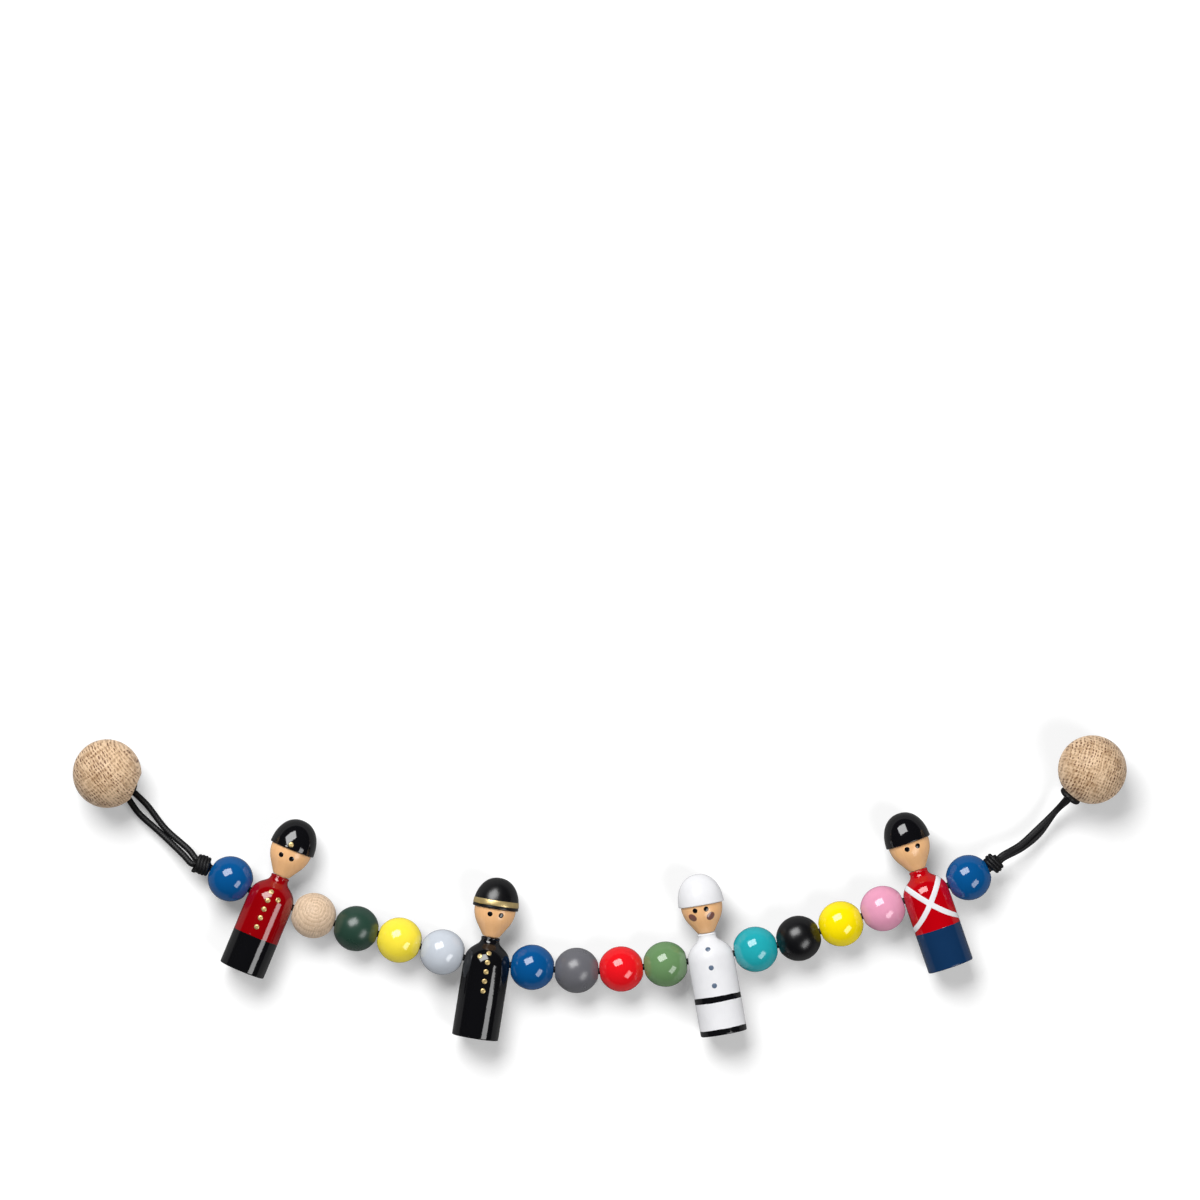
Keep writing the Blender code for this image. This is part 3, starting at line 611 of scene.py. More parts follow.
def turned(outline, axis, segments, ring=False, zone_of=None):
    """Spin (along, radius) or (along, radius, sway) points about X or Y."""
    angles = round_angles(segments)
    points, rows = [], []
    for along, radius, *sways in outline:
        sway = sways[0] if sways else 0.0
        row = []
        for angle in angles[:1] if radius < ON_AXIS else angles:
            level = along + sway * ripple(angle, along / MM)
            side, front = radius * math.sin(angle), radius * math.cos(angle)
            row.append(len(points))
            points.append((level, front, side) if axis == "X" else (side, level, front))
        rows.append(row)
    pairs = [(i, i + 1) for i in range(len(rows) - 1)]
    if ring:
        pairs.append((len(rows) - 1, 0))
    faces, zones = [], []
    for i, j in pairs:
        low, high = rows[i], rows[j]
        if len(low) == 1 and len(high) == 1:
            continue
        if len(low) == 1:
            made = [(low[0], high[(k + 1) % segments], high[k]) for k in range(segments)]
        elif len(high) == 1:
            made = fan_faces(low[0], high[0], segments)
        else:
            made = band_faces(low[0], high[0], segments)
        zone = zone_of((outline[i][0] + outline[j][0]) / 2) if zone_of else 0
        faces += made
        zones += [zone] * segments
    return mesh_from(points, faces, zones)


def on_round(radius, angle):
    """A point on a circle about the middle, in (along, radius)."""
    return radius * math.cos(angle), radius * math.sin(angle)


def arc(centre, radius, start, end, steps):
    """Points on a circle in (along, radius), angles from the axis."""
    angles = [start + (end - start) * i / steps for i in range(steps + 1)]
    return [(centre[0] + radius * math.cos(a), centre[1] + radius * math.sin(a)) for a in angles]


def eased(first, corner, last, steps=4):
    """A corner rounded between two points."""
    made = []
    for i in range(steps + 1):
        t = i / steps
        made.append(tuple((1 - t) ** 2 * a + 2 * t * (1 - t) * b + t * t * c
                          for a, b, c in zip(first, corner, last)))
    return made


def joined(meshes):
    """Several meshes as one."""
    shape = bmesh.new()
    for mesh in meshes:
        shape.from_mesh(mesh)
        bpy.data.meshes.remove(mesh)
    whole = bpy.data.meshes.new("shape")
    shape.to_mesh(whole)
    shape.free()
    return smooth_but_creased(whole, TURNED_CREASE)


def smooth_route(knots, spacing):
    """Points at even steps along a smooth curve through the route's own points."""
    knots = [Vector(k) for k in knots]
    padded = [2 * knots[0] - knots[1], *knots, 2 * knots[-1] - knots[-2]]
    fine = []
    for i in range(1, len(padded) - 2):
        before, here, there, after = padded[i - 1:i + 3]
        for step in range(ROUTE_STEPS):
            t = step / ROUTE_STEPS
            fine.append(0.5 * (2 * here + (there - before) * t
                               + (2 * before - 5 * here + 4 * there - after) * t ** 2
                               + (3 * here - before - 3 * there + after) * t ** 3))
    fine.append(knots[-1])
    return even_steps(fine, spacing)


def even_steps(fine, spacing):
    """Points at even steps along a line of close points."""
    run = [0.0]
    for a, b in zip(fine, fine[1:]):
        run.append(run[-1] + (b - a).length)
    count = max(2, round(run[-1] / spacing) + 1)
    points, j = [], 1
    for i in range(count):
        target = run[-1] * i / (count - 1)
        while j < len(run) - 1 and run[j] < target:
            j += 1
        share = (target - run[j - 1]) / max(run[j] - run[j - 1], LEAST_RUN)
        points.append(fine[j - 1].lerp(fine[j], min(1.0, share)))
    return points


def directions(points, closed):
    """Direction of a line at each of its points."""
    count = len(points)
    made = []
    for i in range(count):
        before = points[i - 1] if i or closed else points[0]
        after = points[(i + 1) % count] if i < count - 1 or closed else points[-1]
        made.append((after - before).normalized())
    return made


def braided_tube(points, radius, sides=32, relief=0.045 * MM, closed=False, radii=None):
    """A round braid along a line of points, with the relief of its crossing yarns."""
    count = len(points)
    radii = radii or [radius] * count
    tangents = directions(points, closed)
    start = UP.cross(tangents[0])
    if start.length < NEARLY_UPRIGHT:
        start = Vector((1.0, 0.0, 0.0)).cross(tangents[0])
    normal = start.normalized()
    girth = 2 * math.pi * radius
    verts, runs, run = [], [], 0.0
    for i, point in enumerate(points):
        if i:
            run += (point - points[i - 1]).length
            normal = tangents[i - 1].rotation_difference(tangents[i]) @ normal
            normal = (normal - tangents[i] * normal.dot(tangents[i])).normalized()
        other = tangents[i].cross(normal)
        along = run / girth * BRAID_CARRIERS
        for k, angle in enumerate(round_angles(sides)):
            around = BRAID_CARRIERS * k / sides
            weave = (math.cos(2 * math.pi * (around + along)) + math.cos(2 * math.pi * (around - along))) / 2
            reach = radii[i] + relief * weave
            verts.append(point + (normal * math.cos(angle) + other * math.sin(angle)) * reach)
        runs.append(run / girth)
    faces, uvs = [], []
    edges = [(k / sides, (k + 1) / sides) for k in range(sides)]
    for i in range(count if closed else count - 1):
        j = (i + 1) % count
        end = runs[j] if j else (run + (points[0] - points[-1]).length) / girth
        faces += band_faces(i * sides, j * sides, sides)
        for left, right in edges:
            uvs += [(left, runs[i]), (right, runs[i]), (right, end), (left, end)]
    if not closed:
        for i, tangent in ((0, -tangents[0]), (count - 1, tangents[-1])):
            faces += fan_faces(i * sides, len(verts), sides)
            verts.append(points[i] + tangent * (CUT_END * radii[i]))
            for left, right in edges:
                uvs += [(left, runs[i]), (right, runs[i]), (left, runs[i])]
    mesh = bpy.data.meshes.new("braid")
    mesh.from_pydata([tuple(v) for v in verts], [], faces)
    layer = mesh.uv_layers.new(name="UVMap")
    for corner, uv in zip(layer.data, uvs):
        corner.uv = uv
    turn_outward(mesh)
    return smooth_but_creased(mesh, BRAID_CREASE)


# Places


def level_turn(along):
    """The turn that lays X along a level direction and keeps Z up."""
    return Matrix((along, UP.cross(along), UP)).transposed().to_4x4()


def seat(joint_name, level=None):
    """Place on a joint: X along its axis, Z up."""
    joint = JOINTS[joint_name]
    spot = Vector(joint["pos_m"])
    if level is not None:
        spot.z = level
    return Matrix.Translation(spot) @ level_turn(Vector(joint["axis"]).normalized())


def spin_name(station):
    """Joint that a bead or figure turns on."""
    return f"{station}_turn" if station in FIGURES else f"spin_{station[:7]}"


def joint_place(name):
    """A joint's point at rest."""
    return Vector(JOINTS[name]["pos_m"])


def bead_mouth(side):
    """Point in an end bead's outer mouth."""
    end = ENDS[side]
    return seat(f"spin_{end['bead']}", CORD_LEVEL) @ Vector((end["outward"] * BEAD_SEAT, 0, 0))


def knot_place(side):
    """Place at an end bead's outer mouth, X along the leaning knot, away from the chain."""
    mouth = bead_mouth(side)
    along = (joint_place(f"loop_{side}_swing") - mouth).normalized()
    lean = Matrix.Rotation(math.radians(ENDS[side]["knot_lean"]), 4, "Z")
    return Matrix.Translation(mouth) @ level_turn(along) @ lean


def facing_down(heading, drop):
    """A direction from its heading on the table and its drop below the level, in degrees."""
    heading, drop = math.radians(heading), math.radians(drop)
    return Vector((math.cos(heading) * math.cos(drop), math.sin(heading) * math.cos(drop), -math.sin(drop)))


def ball_flat(sizes):
    """Distance from a ball's centre to its flat."""
    return math.sqrt((sizes.ball_diameter / 2) ** 2 - BALL_FLAT_RADIUS ** 2)


def hitch_reach(sizes):
    """Distance from a ball's centre to the turn of cord on its flat."""
    return ball_flat(sizes) + FIT_GAP + HITCH_RADIUS


def ball_place(side, sizes):
    """Place at an end ball's centre, X out of its mouth, and the way out."""
    end = ENDS[side]
    away = facing_down(end["mouth_heading"], end["mouth_drop"])
    centre = joint_place(f"ball_{side}_swing") - away * hitch_reach(sizes)
    across = UP.cross(away).normalized()
    turn = Matrix((away, across, away.cross(across))).transposed().to_4x4()
    return Matrix.Translation(centre) @ turn, away


# Figure outlines

# Ridge where two paints meet: up from the edge in mm, and share of the ridge's lift
PAINT_RIDGE = ((-0.3, 0.0), (-0.08, 0.3), (0.0, 0.7), (0.12, 1.0), (0.5, 0.4), (0.9, 0.0))
RIDGE_LIFT = 0.05 * MM
RIDGE_SWAY = 0.14 * MM
# Roll of the collar and lip of the hat: up from its foot and out from its side, in mm
COLLAR_ROLL = ((0.12, -0.03), (0.3, 0.08), (0.55, 0.12), (0.8, 0.06), (1.0, -0.12), (1.1, -0.3))
HAT_LIP = ((0.0, -0.35), (0.1, -0.12), (0.3, 0.02), (0.6, 0.03), (0.95, -0.03))


def shoulder_top(sizes):
    """Height of the foot of the collar."""
    drop = sizes.coat_diameter / 2 - COLLAR_RADIUS
    rounds = SHOULDER_RADIUS + NECK_COVE_RADIUS
    line = max(0.0, (drop - rounds * (1 - math.cos(SHOULDER_TURN))) / math.sin(SHOULDER_TURN))
    return SHOULDER_START + rounds * math.sin(SHOULDER_TURN) + line * math.cos(SHOULDER_TURN)


def collar_top(sizes):
    """Height of the top of the collar."""
    return shoulder_top(sizes) + COLLAR_HEIGHT


def head_base(sizes):
    """Height of the chin."""
    return collar_top(sizes) + FIT_GAP


def hat_base(sizes):
    """Height of the hat's rim."""
    return head_base(sizes) + HEAD_HEIGHT + FIT_GAP


def coat_side(sizes, edges=()):
    """Outside of a body from its base to its collar, with a low ridge of paint at each edge."""
    radius = sizes.coat_diameter / 2
    side = arc((BASE_ROUND, radius - BASE_ROUND), BASE_ROUND, math.pi, math.pi / 2, BASE_STEPS)
    for height in edges:
        side += [(height + up * MM, radius + share * RIDGE_LIFT, RIDGE_SWAY) for up, share in PAINT_RIDGE]
    turns = [SHOULDER_TURN * i / SHOULDER_STEPS for i in range(SHOULDER_STEPS + 1)]
    side += [(SHOULDER_START + SHOULDER_RADIUS * math.sin(a),
              radius - SHOULDER_RADIUS * (1 - math.cos(a))) for a in turns]
    top = shoulder_top(sizes)
    side += [(top - NECK_COVE_RADIUS * math.sin(a), COLLAR_RADIUS + NECK_COVE_RADIUS * (1 - math.cos(a)))
             for a in reversed(turns)]
    side += [(top + up * MM, COLLAR_RADIUS + out * MM) for up, out in COLLAR_ROLL]
    return side


def head_side(sizes):
    """Outside of a head: a straight jaw and a round cheek."""
    base = head_base(sizes)
    top = base + HEAD_HEIGHT
    middle = sizes.head_diameter / 2 - CHEEK_RADIUS
    reach = math.hypot(HEAD_HEIGHT, CHIN_RADIUS - middle)
    jaw = math.asin(min(1.0, CHEEK_RADIUS / reach)) - math.atan2(CHIN_RADIUS - middle, HEAD_HEIGHT)
    angles = [jaw * (1 - i / CHEEK_STEPS) for i in range(CHEEK_STEPS + 1)]
    cheek = [(top - CHEEK_RADIUS * math.sin(a), middle + CHEEK_RADIUS * math.cos(a)) for a in angles]
    lean = (cheek[0][1] - CHIN_RADIUS) / (cheek[0][0] - base)
    chin = eased((base, CHIN_RADIUS - CHIN_FLAT), (base, CHIN_RADIUS),
                 (base + CHIN_EASE, CHIN_RADIUS + CHIN_EASE * lean))
    return chin + cheek


def hat_side(sizes):
    """Outside of a hat: a small lip and a tall dome, without its crown point."""
    base = hat_base(sizes)
    radius = sizes.hat_diameter / 2
    lip = [(base + up * MM, radius + out * MM) for up, out in HAT_LIP]
    power = 2.0 / HAT_FULLNESS
    first = math.asin((DOME_START / sizes.hat_height) ** (1.0 / power))
    angles = [first + (math.pi / 2 - first) * i / HAT_STEPS for i in range(HAT_STEPS)]
    dome = [(base + sizes.hat_height * math.sin(a) ** power, radius * math.cos(a) ** power) for a in angles]
    return lip + dome


def on_bore(outline):
    """Heights measured from the bore instead of from the base."""
    return [(spot[0] - BORE_HEIGHT, *spot[1:]) for spot in outline]


def bored(blank, sizes):
    """Cut the cross bore and its countersinks through a body."""
    reach = sizes.coat_diameter / 2 + FIT_GAP
    flare = FIGURE_MOUTH + FIT_GAP
    bore = FIGURE_BORE_RADIUS
    spindle = [(-reach, 0.0), (-reach, bore + flare), (flare - reach, bore), (reach - flare, bore),
               (reach, bore + flare), (reach, 0.0)]
    cutter = finished_object("bore_cutter", turned(spindle, "X", BORE_SEGMENTS), Matrix())
    body = finished_object("body_blank", blank, Matrix())
    cut = body.modifiers.new("bore", "BOOLEAN")
    cut.operation = "DIFFERENCE"
    cut.object = cutter
    cut.solver = "EXACT"
    bpy.context.view_layer.update()
    graph = bpy.context.evaluated_depsgraph_get()
    mesh = bpy.data.meshes.new_from_object(body.evaluated_get(graph))
    for thing in (body, cutter):
        bpy.data.objects.remove(thing, do_unlink=True)
    return smooth_but_creased(mesh, TURNED_CREASE)


# Raised paint

# A daub of paint: points round it, rings across it, how far and how wide its foot is sunk into the surface,
# and how much narrower its pit is than the daub
DAUB_POINTS = 28
DAUB_RINGS = 6
DAUB_SINK = 0.15 * MM
DAUB_FOOT = 0.97
PIT_NARROWING = 3.2
# A band of paint: how far it is sunk, and how much its width wavers
BAND_SINK = 0.12 * MM
BAND_WAVER = 0.05
# Lift of the paint, and the shape of gold daubs and buttons
EYE_LIFT = 0.14 * MM
GOLD_LIFT = 0.24 * MM
GOLD_HOLLOW = 1.5
BUTTON_CROWN = 4


class Surface:
    """A turned surface that paint is laid on."""

    def __init__(self, side):
        self.side = [spot[:2] for spot in side]

    def at(self, height):
        """Radius and lean of the surface at a height."""
        for low, high in zip(self.side, self.side[1:]):
            if low[0] <= height <= high[0] and high[0] > low[0]:
                lean = (high[1] - low[1]) / (high[0] - low[0])
                return low[1] + lean * (height - low[0]), lean
        return self.side[-1][1], 0.0

    def point(self, height, angle, lift):
        """A point on the surface, or lifted off it along its normal."""
        radius, lean = self.at(height)
        across = 1.0 / math.hypot(1.0, lean)
        out = radius + lift * across
        return (out * math.sin(angle), height - lift * lean * across - BORE_HEIGHT, out * math.cos(angle))


def daub(surface, height, sideways, wide, tall, lift, tilt=0.0, hollow=0.0, crown=2):
    """A domed spot of paint: hollow gives it a pit, and a higher crown flattens its top."""
    radius, lean = surface.at(height)
    middle = math.asin(max(-1.0, min(1.0, sideways / radius)))
    upward = 1.0 / math.hypot(1.0, lean)
    angles = round_angles(DAUB_POINTS)

    def spot(share, angle, rise):
        a = wide / 2 * share * math.cos(angle)
        b = tall / 2 * share * math.sin(angle)
        across = a * math.cos(tilt) - b * math.sin(tilt)
        up = a * math.sin(tilt) + b * math.cos(tilt)
        level = height + up * upward
        return surface.point(level, middle + across / surface.at(level)[0], rise)

    points = [spot(0.0, 0.0, lift * (1.0 - hollow))]
    for ring in range(1, DAUB_RINGS + 1):
        share = ring / DAUB_RINGS
        dome = math.sqrt(max(0.0, 1 - share ** crown))
        pit = hollow * max(0.0, 1 - PIT_NARROWING * share)
        points += [spot(share, angle, lift * (dome - pit)) for angle in angles]
    points += [spot(DAUB_FOOT, angle, -DAUB_SINK) for angle in angles]
    points.append(spot(0.0, 0.0, -DAUB_SINK))
    starts = [1 + ring * DAUB_POINTS for ring in range(DAUB_RINGS + 1)]
    faces = [(0, 1 + (k + 1) % DAUB_POINTS, 1 + k) for k in range(DAUB_POINTS)]
    for low, high in zip(starts, starts[1:]):
        faces += band_faces(low, high, DAUB_POINTS)
    faces += fan_faces(starts[-1], len(points) - 1, DAUB_POINTS)
    return mesh_from(points, faces)


def ribbon(surface, path, width, lift, seed):
    """A closed painted band along a path of (height, angle) round a turned surface."""
    # Across the band: share of its half width, and rise off the surface
    section = [(-0.98, -BAND_SINK), (-1.0, 0.0), (-0.88, 0.75 * lift), (-0.5, lift), (0.0, lift),
               (0.5, lift), (0.88, 0.75 * lift), (1.0, 0.0), (0.98, -BAND_SINK), (0.0, -BAND_SINK)]
    count, sides = len(path), len(section)
    points, faces = [], []
    for i, (height, angle) in enumerate(path):
        radius, lean = surface.at(height)
        slope = math.hypot(1.0, lean)
        following = (i + 1) % count
        before, after = path[i - 1], path[following]
        turn = (after[1] - before[1] + math.pi) % (2 * math.pi) - math.pi
        run, climb = turn * radius, (after[0] - before[0]) * slope
        size = math.hypot(run, climb)
        half = width / 2 * (1.0 + BAND_WAVER * ripple(angle, seed))
        for share, rise in section:
            sideways = -climb / size * half * share
            upward = run / size * half * share
            level = height + upward / slope
            points.append(surface.point(level, angle + sideways / surface.at(level)[0], rise))
        faces += band_faces(i * sides, following * sides, sides)
    return mesh_from(points, faces)


def paint_piece(name, figure, meshes, material):
    """Paint on a figure, moving with it."""
    thing = finished_object(name, joined(meshes), seat(spin_name(figure)), material)
    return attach(thing, figure)


def eyes(figure, sizes, height, spacing, middle):
    """Two round painted eyes at a height, by their spacing and the middle between them."""
    surface = Surface(head_side(sizes))
    size = sizes.eye_diameter
    spots = [daub(surface, height, middle + side * spacing / 2, size, size, EYE_LIFT) for side in (-1, 1)]
    paint_piece(f"{figure}_eyes", figure, spots, lacquer("black_lacquer"))


def buttons(figure, sizes, spots, material, lift, hollow=0.0):
    """Painted buttons on a figure's body, by their height and place sideways in mm."""
    surface = Surface(coat_side(sizes))
    size = sizes.button_diameter
    made = [daub(surface, height * MM, sideways * MM, size, size, lift, hollow=hollow, crown=BUTTON_CROWN)
            for height, sideways in spots]
    return paint_piece(f"{figure}_buttons", figure, made, material)


# Operators


class PRAMCHAIN_OT_stage(bpy.types.Operator):
    """Add the floor, the soft lamps, the white surround and the camera above the chain."""

    bl_idname = "pram_chain.stage"
    bl_label = "Stage"

    KEY = {"towards": (-0.28, 0.58, 0.765), "distance": 2.0, "size": (1.5, 1.15), "glow": 6.68}
    FILL = {"towards": (0.56, -0.43, 0.70), "distance": 2.0, "size": (1.28, 0.82), "glow": 3.84}
    # Watts to the square metre of a lamp at a glow of 1
    LAMP_POWER = 4.0
    WHITE = (1.0, 1.0, 1.0, 1.0)
    FLOOR_SIZE = 8.0
    FLOOR_DROP = 0.02 * MM
    FLOOR_COLOUR = (0.9, 0.9, 0.9, 1.0)
    FLOOR_IN_GLOSS = (0.2, 0.2, 0.2, 1.0)
    FLOOR_GLOW = 0.145
    # Light of the surround on the chain, the heights that its horizon lies between, and its light in
    # gloss at either
    SURROUND_LIGHT = 0.105
    HORIZON = (0.02, 0.1)
    HORIZON_IN_GLOSS = (0.2, 0.015)
    CAMERA = {"place": (0.0001, 0.12695, 3.0), "lens": 203.5, "sensor": 36.0, "sight": 20.0}

    def execute(self, context):
        context.scene.view_settings.view_transform = "Standard"
        self.add_floor()
        self.add_lamp("key_softbox", self.KEY)
        self.add_lamp("fill_softbox", self.FILL)
        self.set_surround(context)
        self.add_camera(context)
        return {"FINISHED"}

    def add_floor(self):
        """A plain white table, brighter to the camera so that only the shadow shows, and dim in gloss."""
        half = self.FLOOR_SIZE / 2
        corners = [(-half, -half, 0.0), (half, -half, 0.0), (half, half, 0.0), (-half, half, 0.0)]
        mesh = bpy.data.meshes.new("floor")
        mesh.from_pydata(corners, [], [(0, 1, 2, 3)])
        material = bpy.data.materials.new("white table")
        material.use_nodes = True
        tree = material.node_tree
        shader = tree.nodes["Principled BSDF"]
        shader.inputs["Roughness"].default_value = 0.9
        shader.inputs["Specular IOR Level"].default_value = 0.1
        shader.inputs["Emission Color"].default_value = self.WHITE
        rays = tree.nodes.new("ShaderNodeLightPath").outputs
        glow = maths(tree, "MULTIPLY", self.seen(tree, rays), self.FLOOR_GLOW)
        tree.links.new(glow, shader.inputs["Emission Strength"])
        mirrored = mixed(tree, rays["Is Glossy Ray"], self.FLOOR_COLOUR, self.FLOOR_IN_GLOSS)
        tree.links.new(mirrored, shader.inputs["Base Color"])
        floor = finished_object("floor", mesh, Matrix.Translation((0.0, 0.0, -self.FLOOR_DROP)), material)
        floor.visible_diffuse = True

    def seen(self, tree, rays):
        """Whether a ray comes from the camera, straight or through something clear."""
        return maths(tree, "MAXIMUM", rays["Is Camera Ray"], rays["Is Transmission Ray"])

    def add_lamp(self, name, look):
        """A soft rectangular lamp aimed at the chain."""
        towards = Vector(look["towards"]).normalized()
        light = bpy.data.lights.new(name, "AREA")
        light.shape = "RECTANGLE"
        light.size, light.size_y = look["size"]
        light.energy = look["glow"] * self.LAMP_POWER * light.size * light.size_y
        lamp = bpy.data.objects.new(name, light)
        lamp.location = towards * look["distance"]
        lamp.rotation_euler = towards.to_track_quat("Z", "Y").to_euler()
        lamp.visible_camera = False
        bpy.context.collection.objects.link(lamp)

    def set_surround(self, context):
        """White to the camera, and to reflections only near the horizon."""
        world = bpy.data.worlds.new("white studio")
        world.use_nodes = True
        context.scene.world = world
        tree = world.node_tree
        sky = tree.nodes["Background"]
        rays = tree.nodes.new("ShaderNodeLightPath").outputs
        towards = add_node(tree, "ShaderNodeSeparateXYZ",
                           Vector=tree.nodes.new("ShaderNodeTexCoord").outputs["Generated"])
        low = spread(tree, towards.outputs["Z"], *self.HORIZON, *self.HORIZON_IN_GLOSS)
        glossy = maths(tree, "MULTIPLY", rays["Is Glossy Ray"], low)
        bright = maths(tree, "MAXIMUM", self.seen(tree, rays), glossy)
        diffuse = maths(tree, "MULTIPLY", rays["Is Diffuse Ray"], self.SURROUND_LIGHT)
        tree.links.new(maths(tree, "MAXIMUM", bright, diffuse), sky.inputs["Strength"])
        sky.inputs["Color"].default_value = self.WHITE

    def add_camera(self, context):
        """A camera straight above the chain."""
        camera = bpy.data.cameras.new("camera_above")
        camera.lens = self.CAMERA["lens"]
        camera.sensor_width = self.CAMERA["sensor"]
        camera.clip_end = self.CAMERA["sight"]
        holder = bpy.data.objects.new("camera_above", camera)
        holder.location = self.CAMERA["place"]
        context.collection.objects.link(holder)
        context.scene.camera = holder


class PRAMCHAIN_OT_elastic(bpy.types.Operator):
    """String the elastic through the beads and figures, bending in each gap between them."""

    bl_idname = "pram_chain.elastic"
    bl_label = "Elastic through the chain"

    # How far an end runs into its knot, the steps along it, and the sides of its tube
    END_ENTRY = 4.0 * MM
    END_STEP = 0.6 * MM
    END_SIDES = 16
    # A length between two pieces: its round in the gap, where it bends, its steps and its tube
    BEND_EASE = 1.5 * MM
    BEND_ROUND_STEPS = 10
    BEND_REACH = 1.0 * MM
    BEND_STEP = 0.25 * MM
    STRAIGHT_STEP = 1.0 * MM
    MEETING_GAP = 0.05 * MM
    SIDES = 24
    RELIEF = 0.03 * MM

    def execute(self, context):
        radius = context.scene.pram_chain_sizes.cord_diameter / 2
        middles = [seat(spin_name(station), CORD_LEVEL).translation for station in STATIONS]
        for i in range(len(STATIONS) - 1):
            self.add_length(i + 1, middles[i], middles[i + 1], radius)
        for side, end in ENDS.items():
            middle = seat(f"spin_{end['bead']}", CORD_LEVEL).translation
            inside = knot_place(side) @ Vector((self.END_ENTRY, 0, 0))
            line = even_steps([middle, bead_mouth(side), inside], self.END_STEP)
            mesh = braided_tube(line, radius, self.END_SIDES, 0.0)
            tube = finished_object(f"elastic_end_{side}", mesh, Matrix(), elastic())
            stand_for(tube, end["cord"], end["cord"])
        return {"FINISHED"}

    def add_length(self, number, first, last, radius):
        """One length from the middle of a piece to the middle of the next."""
        bend = joint_place(f"cord_bend_{number:02d}")
        before = (bend - first).normalized()
        after = (last - bend).normalized()
        ease = self.BEND_EASE
        corner = [Vector(spot) for spot in
                  eased(bend - before * ease, bend, bend + after * ease, self.BEND_ROUND_STEPS)]
        line = even_steps([first + before * self.MEETING_GAP, corner[0]], self.STRAIGHT_STEP)[:-1]
        line += even_steps(corner, self.BEND_STEP)
        line += even_steps([corner[-1], last - after * self.MEETING_GAP], self.STRAIGHT_STEP)[1:]
        mesh = braided_tube(line, radius, self.SIDES, self.RELIEF)
        tube = finished_object(f"elastic_{number:02d}", mesh, Matrix(), elastic())
        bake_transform(tube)
        if number < len(STATIONS) - 1:
            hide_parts(f"cord_{number + 1:02d}")


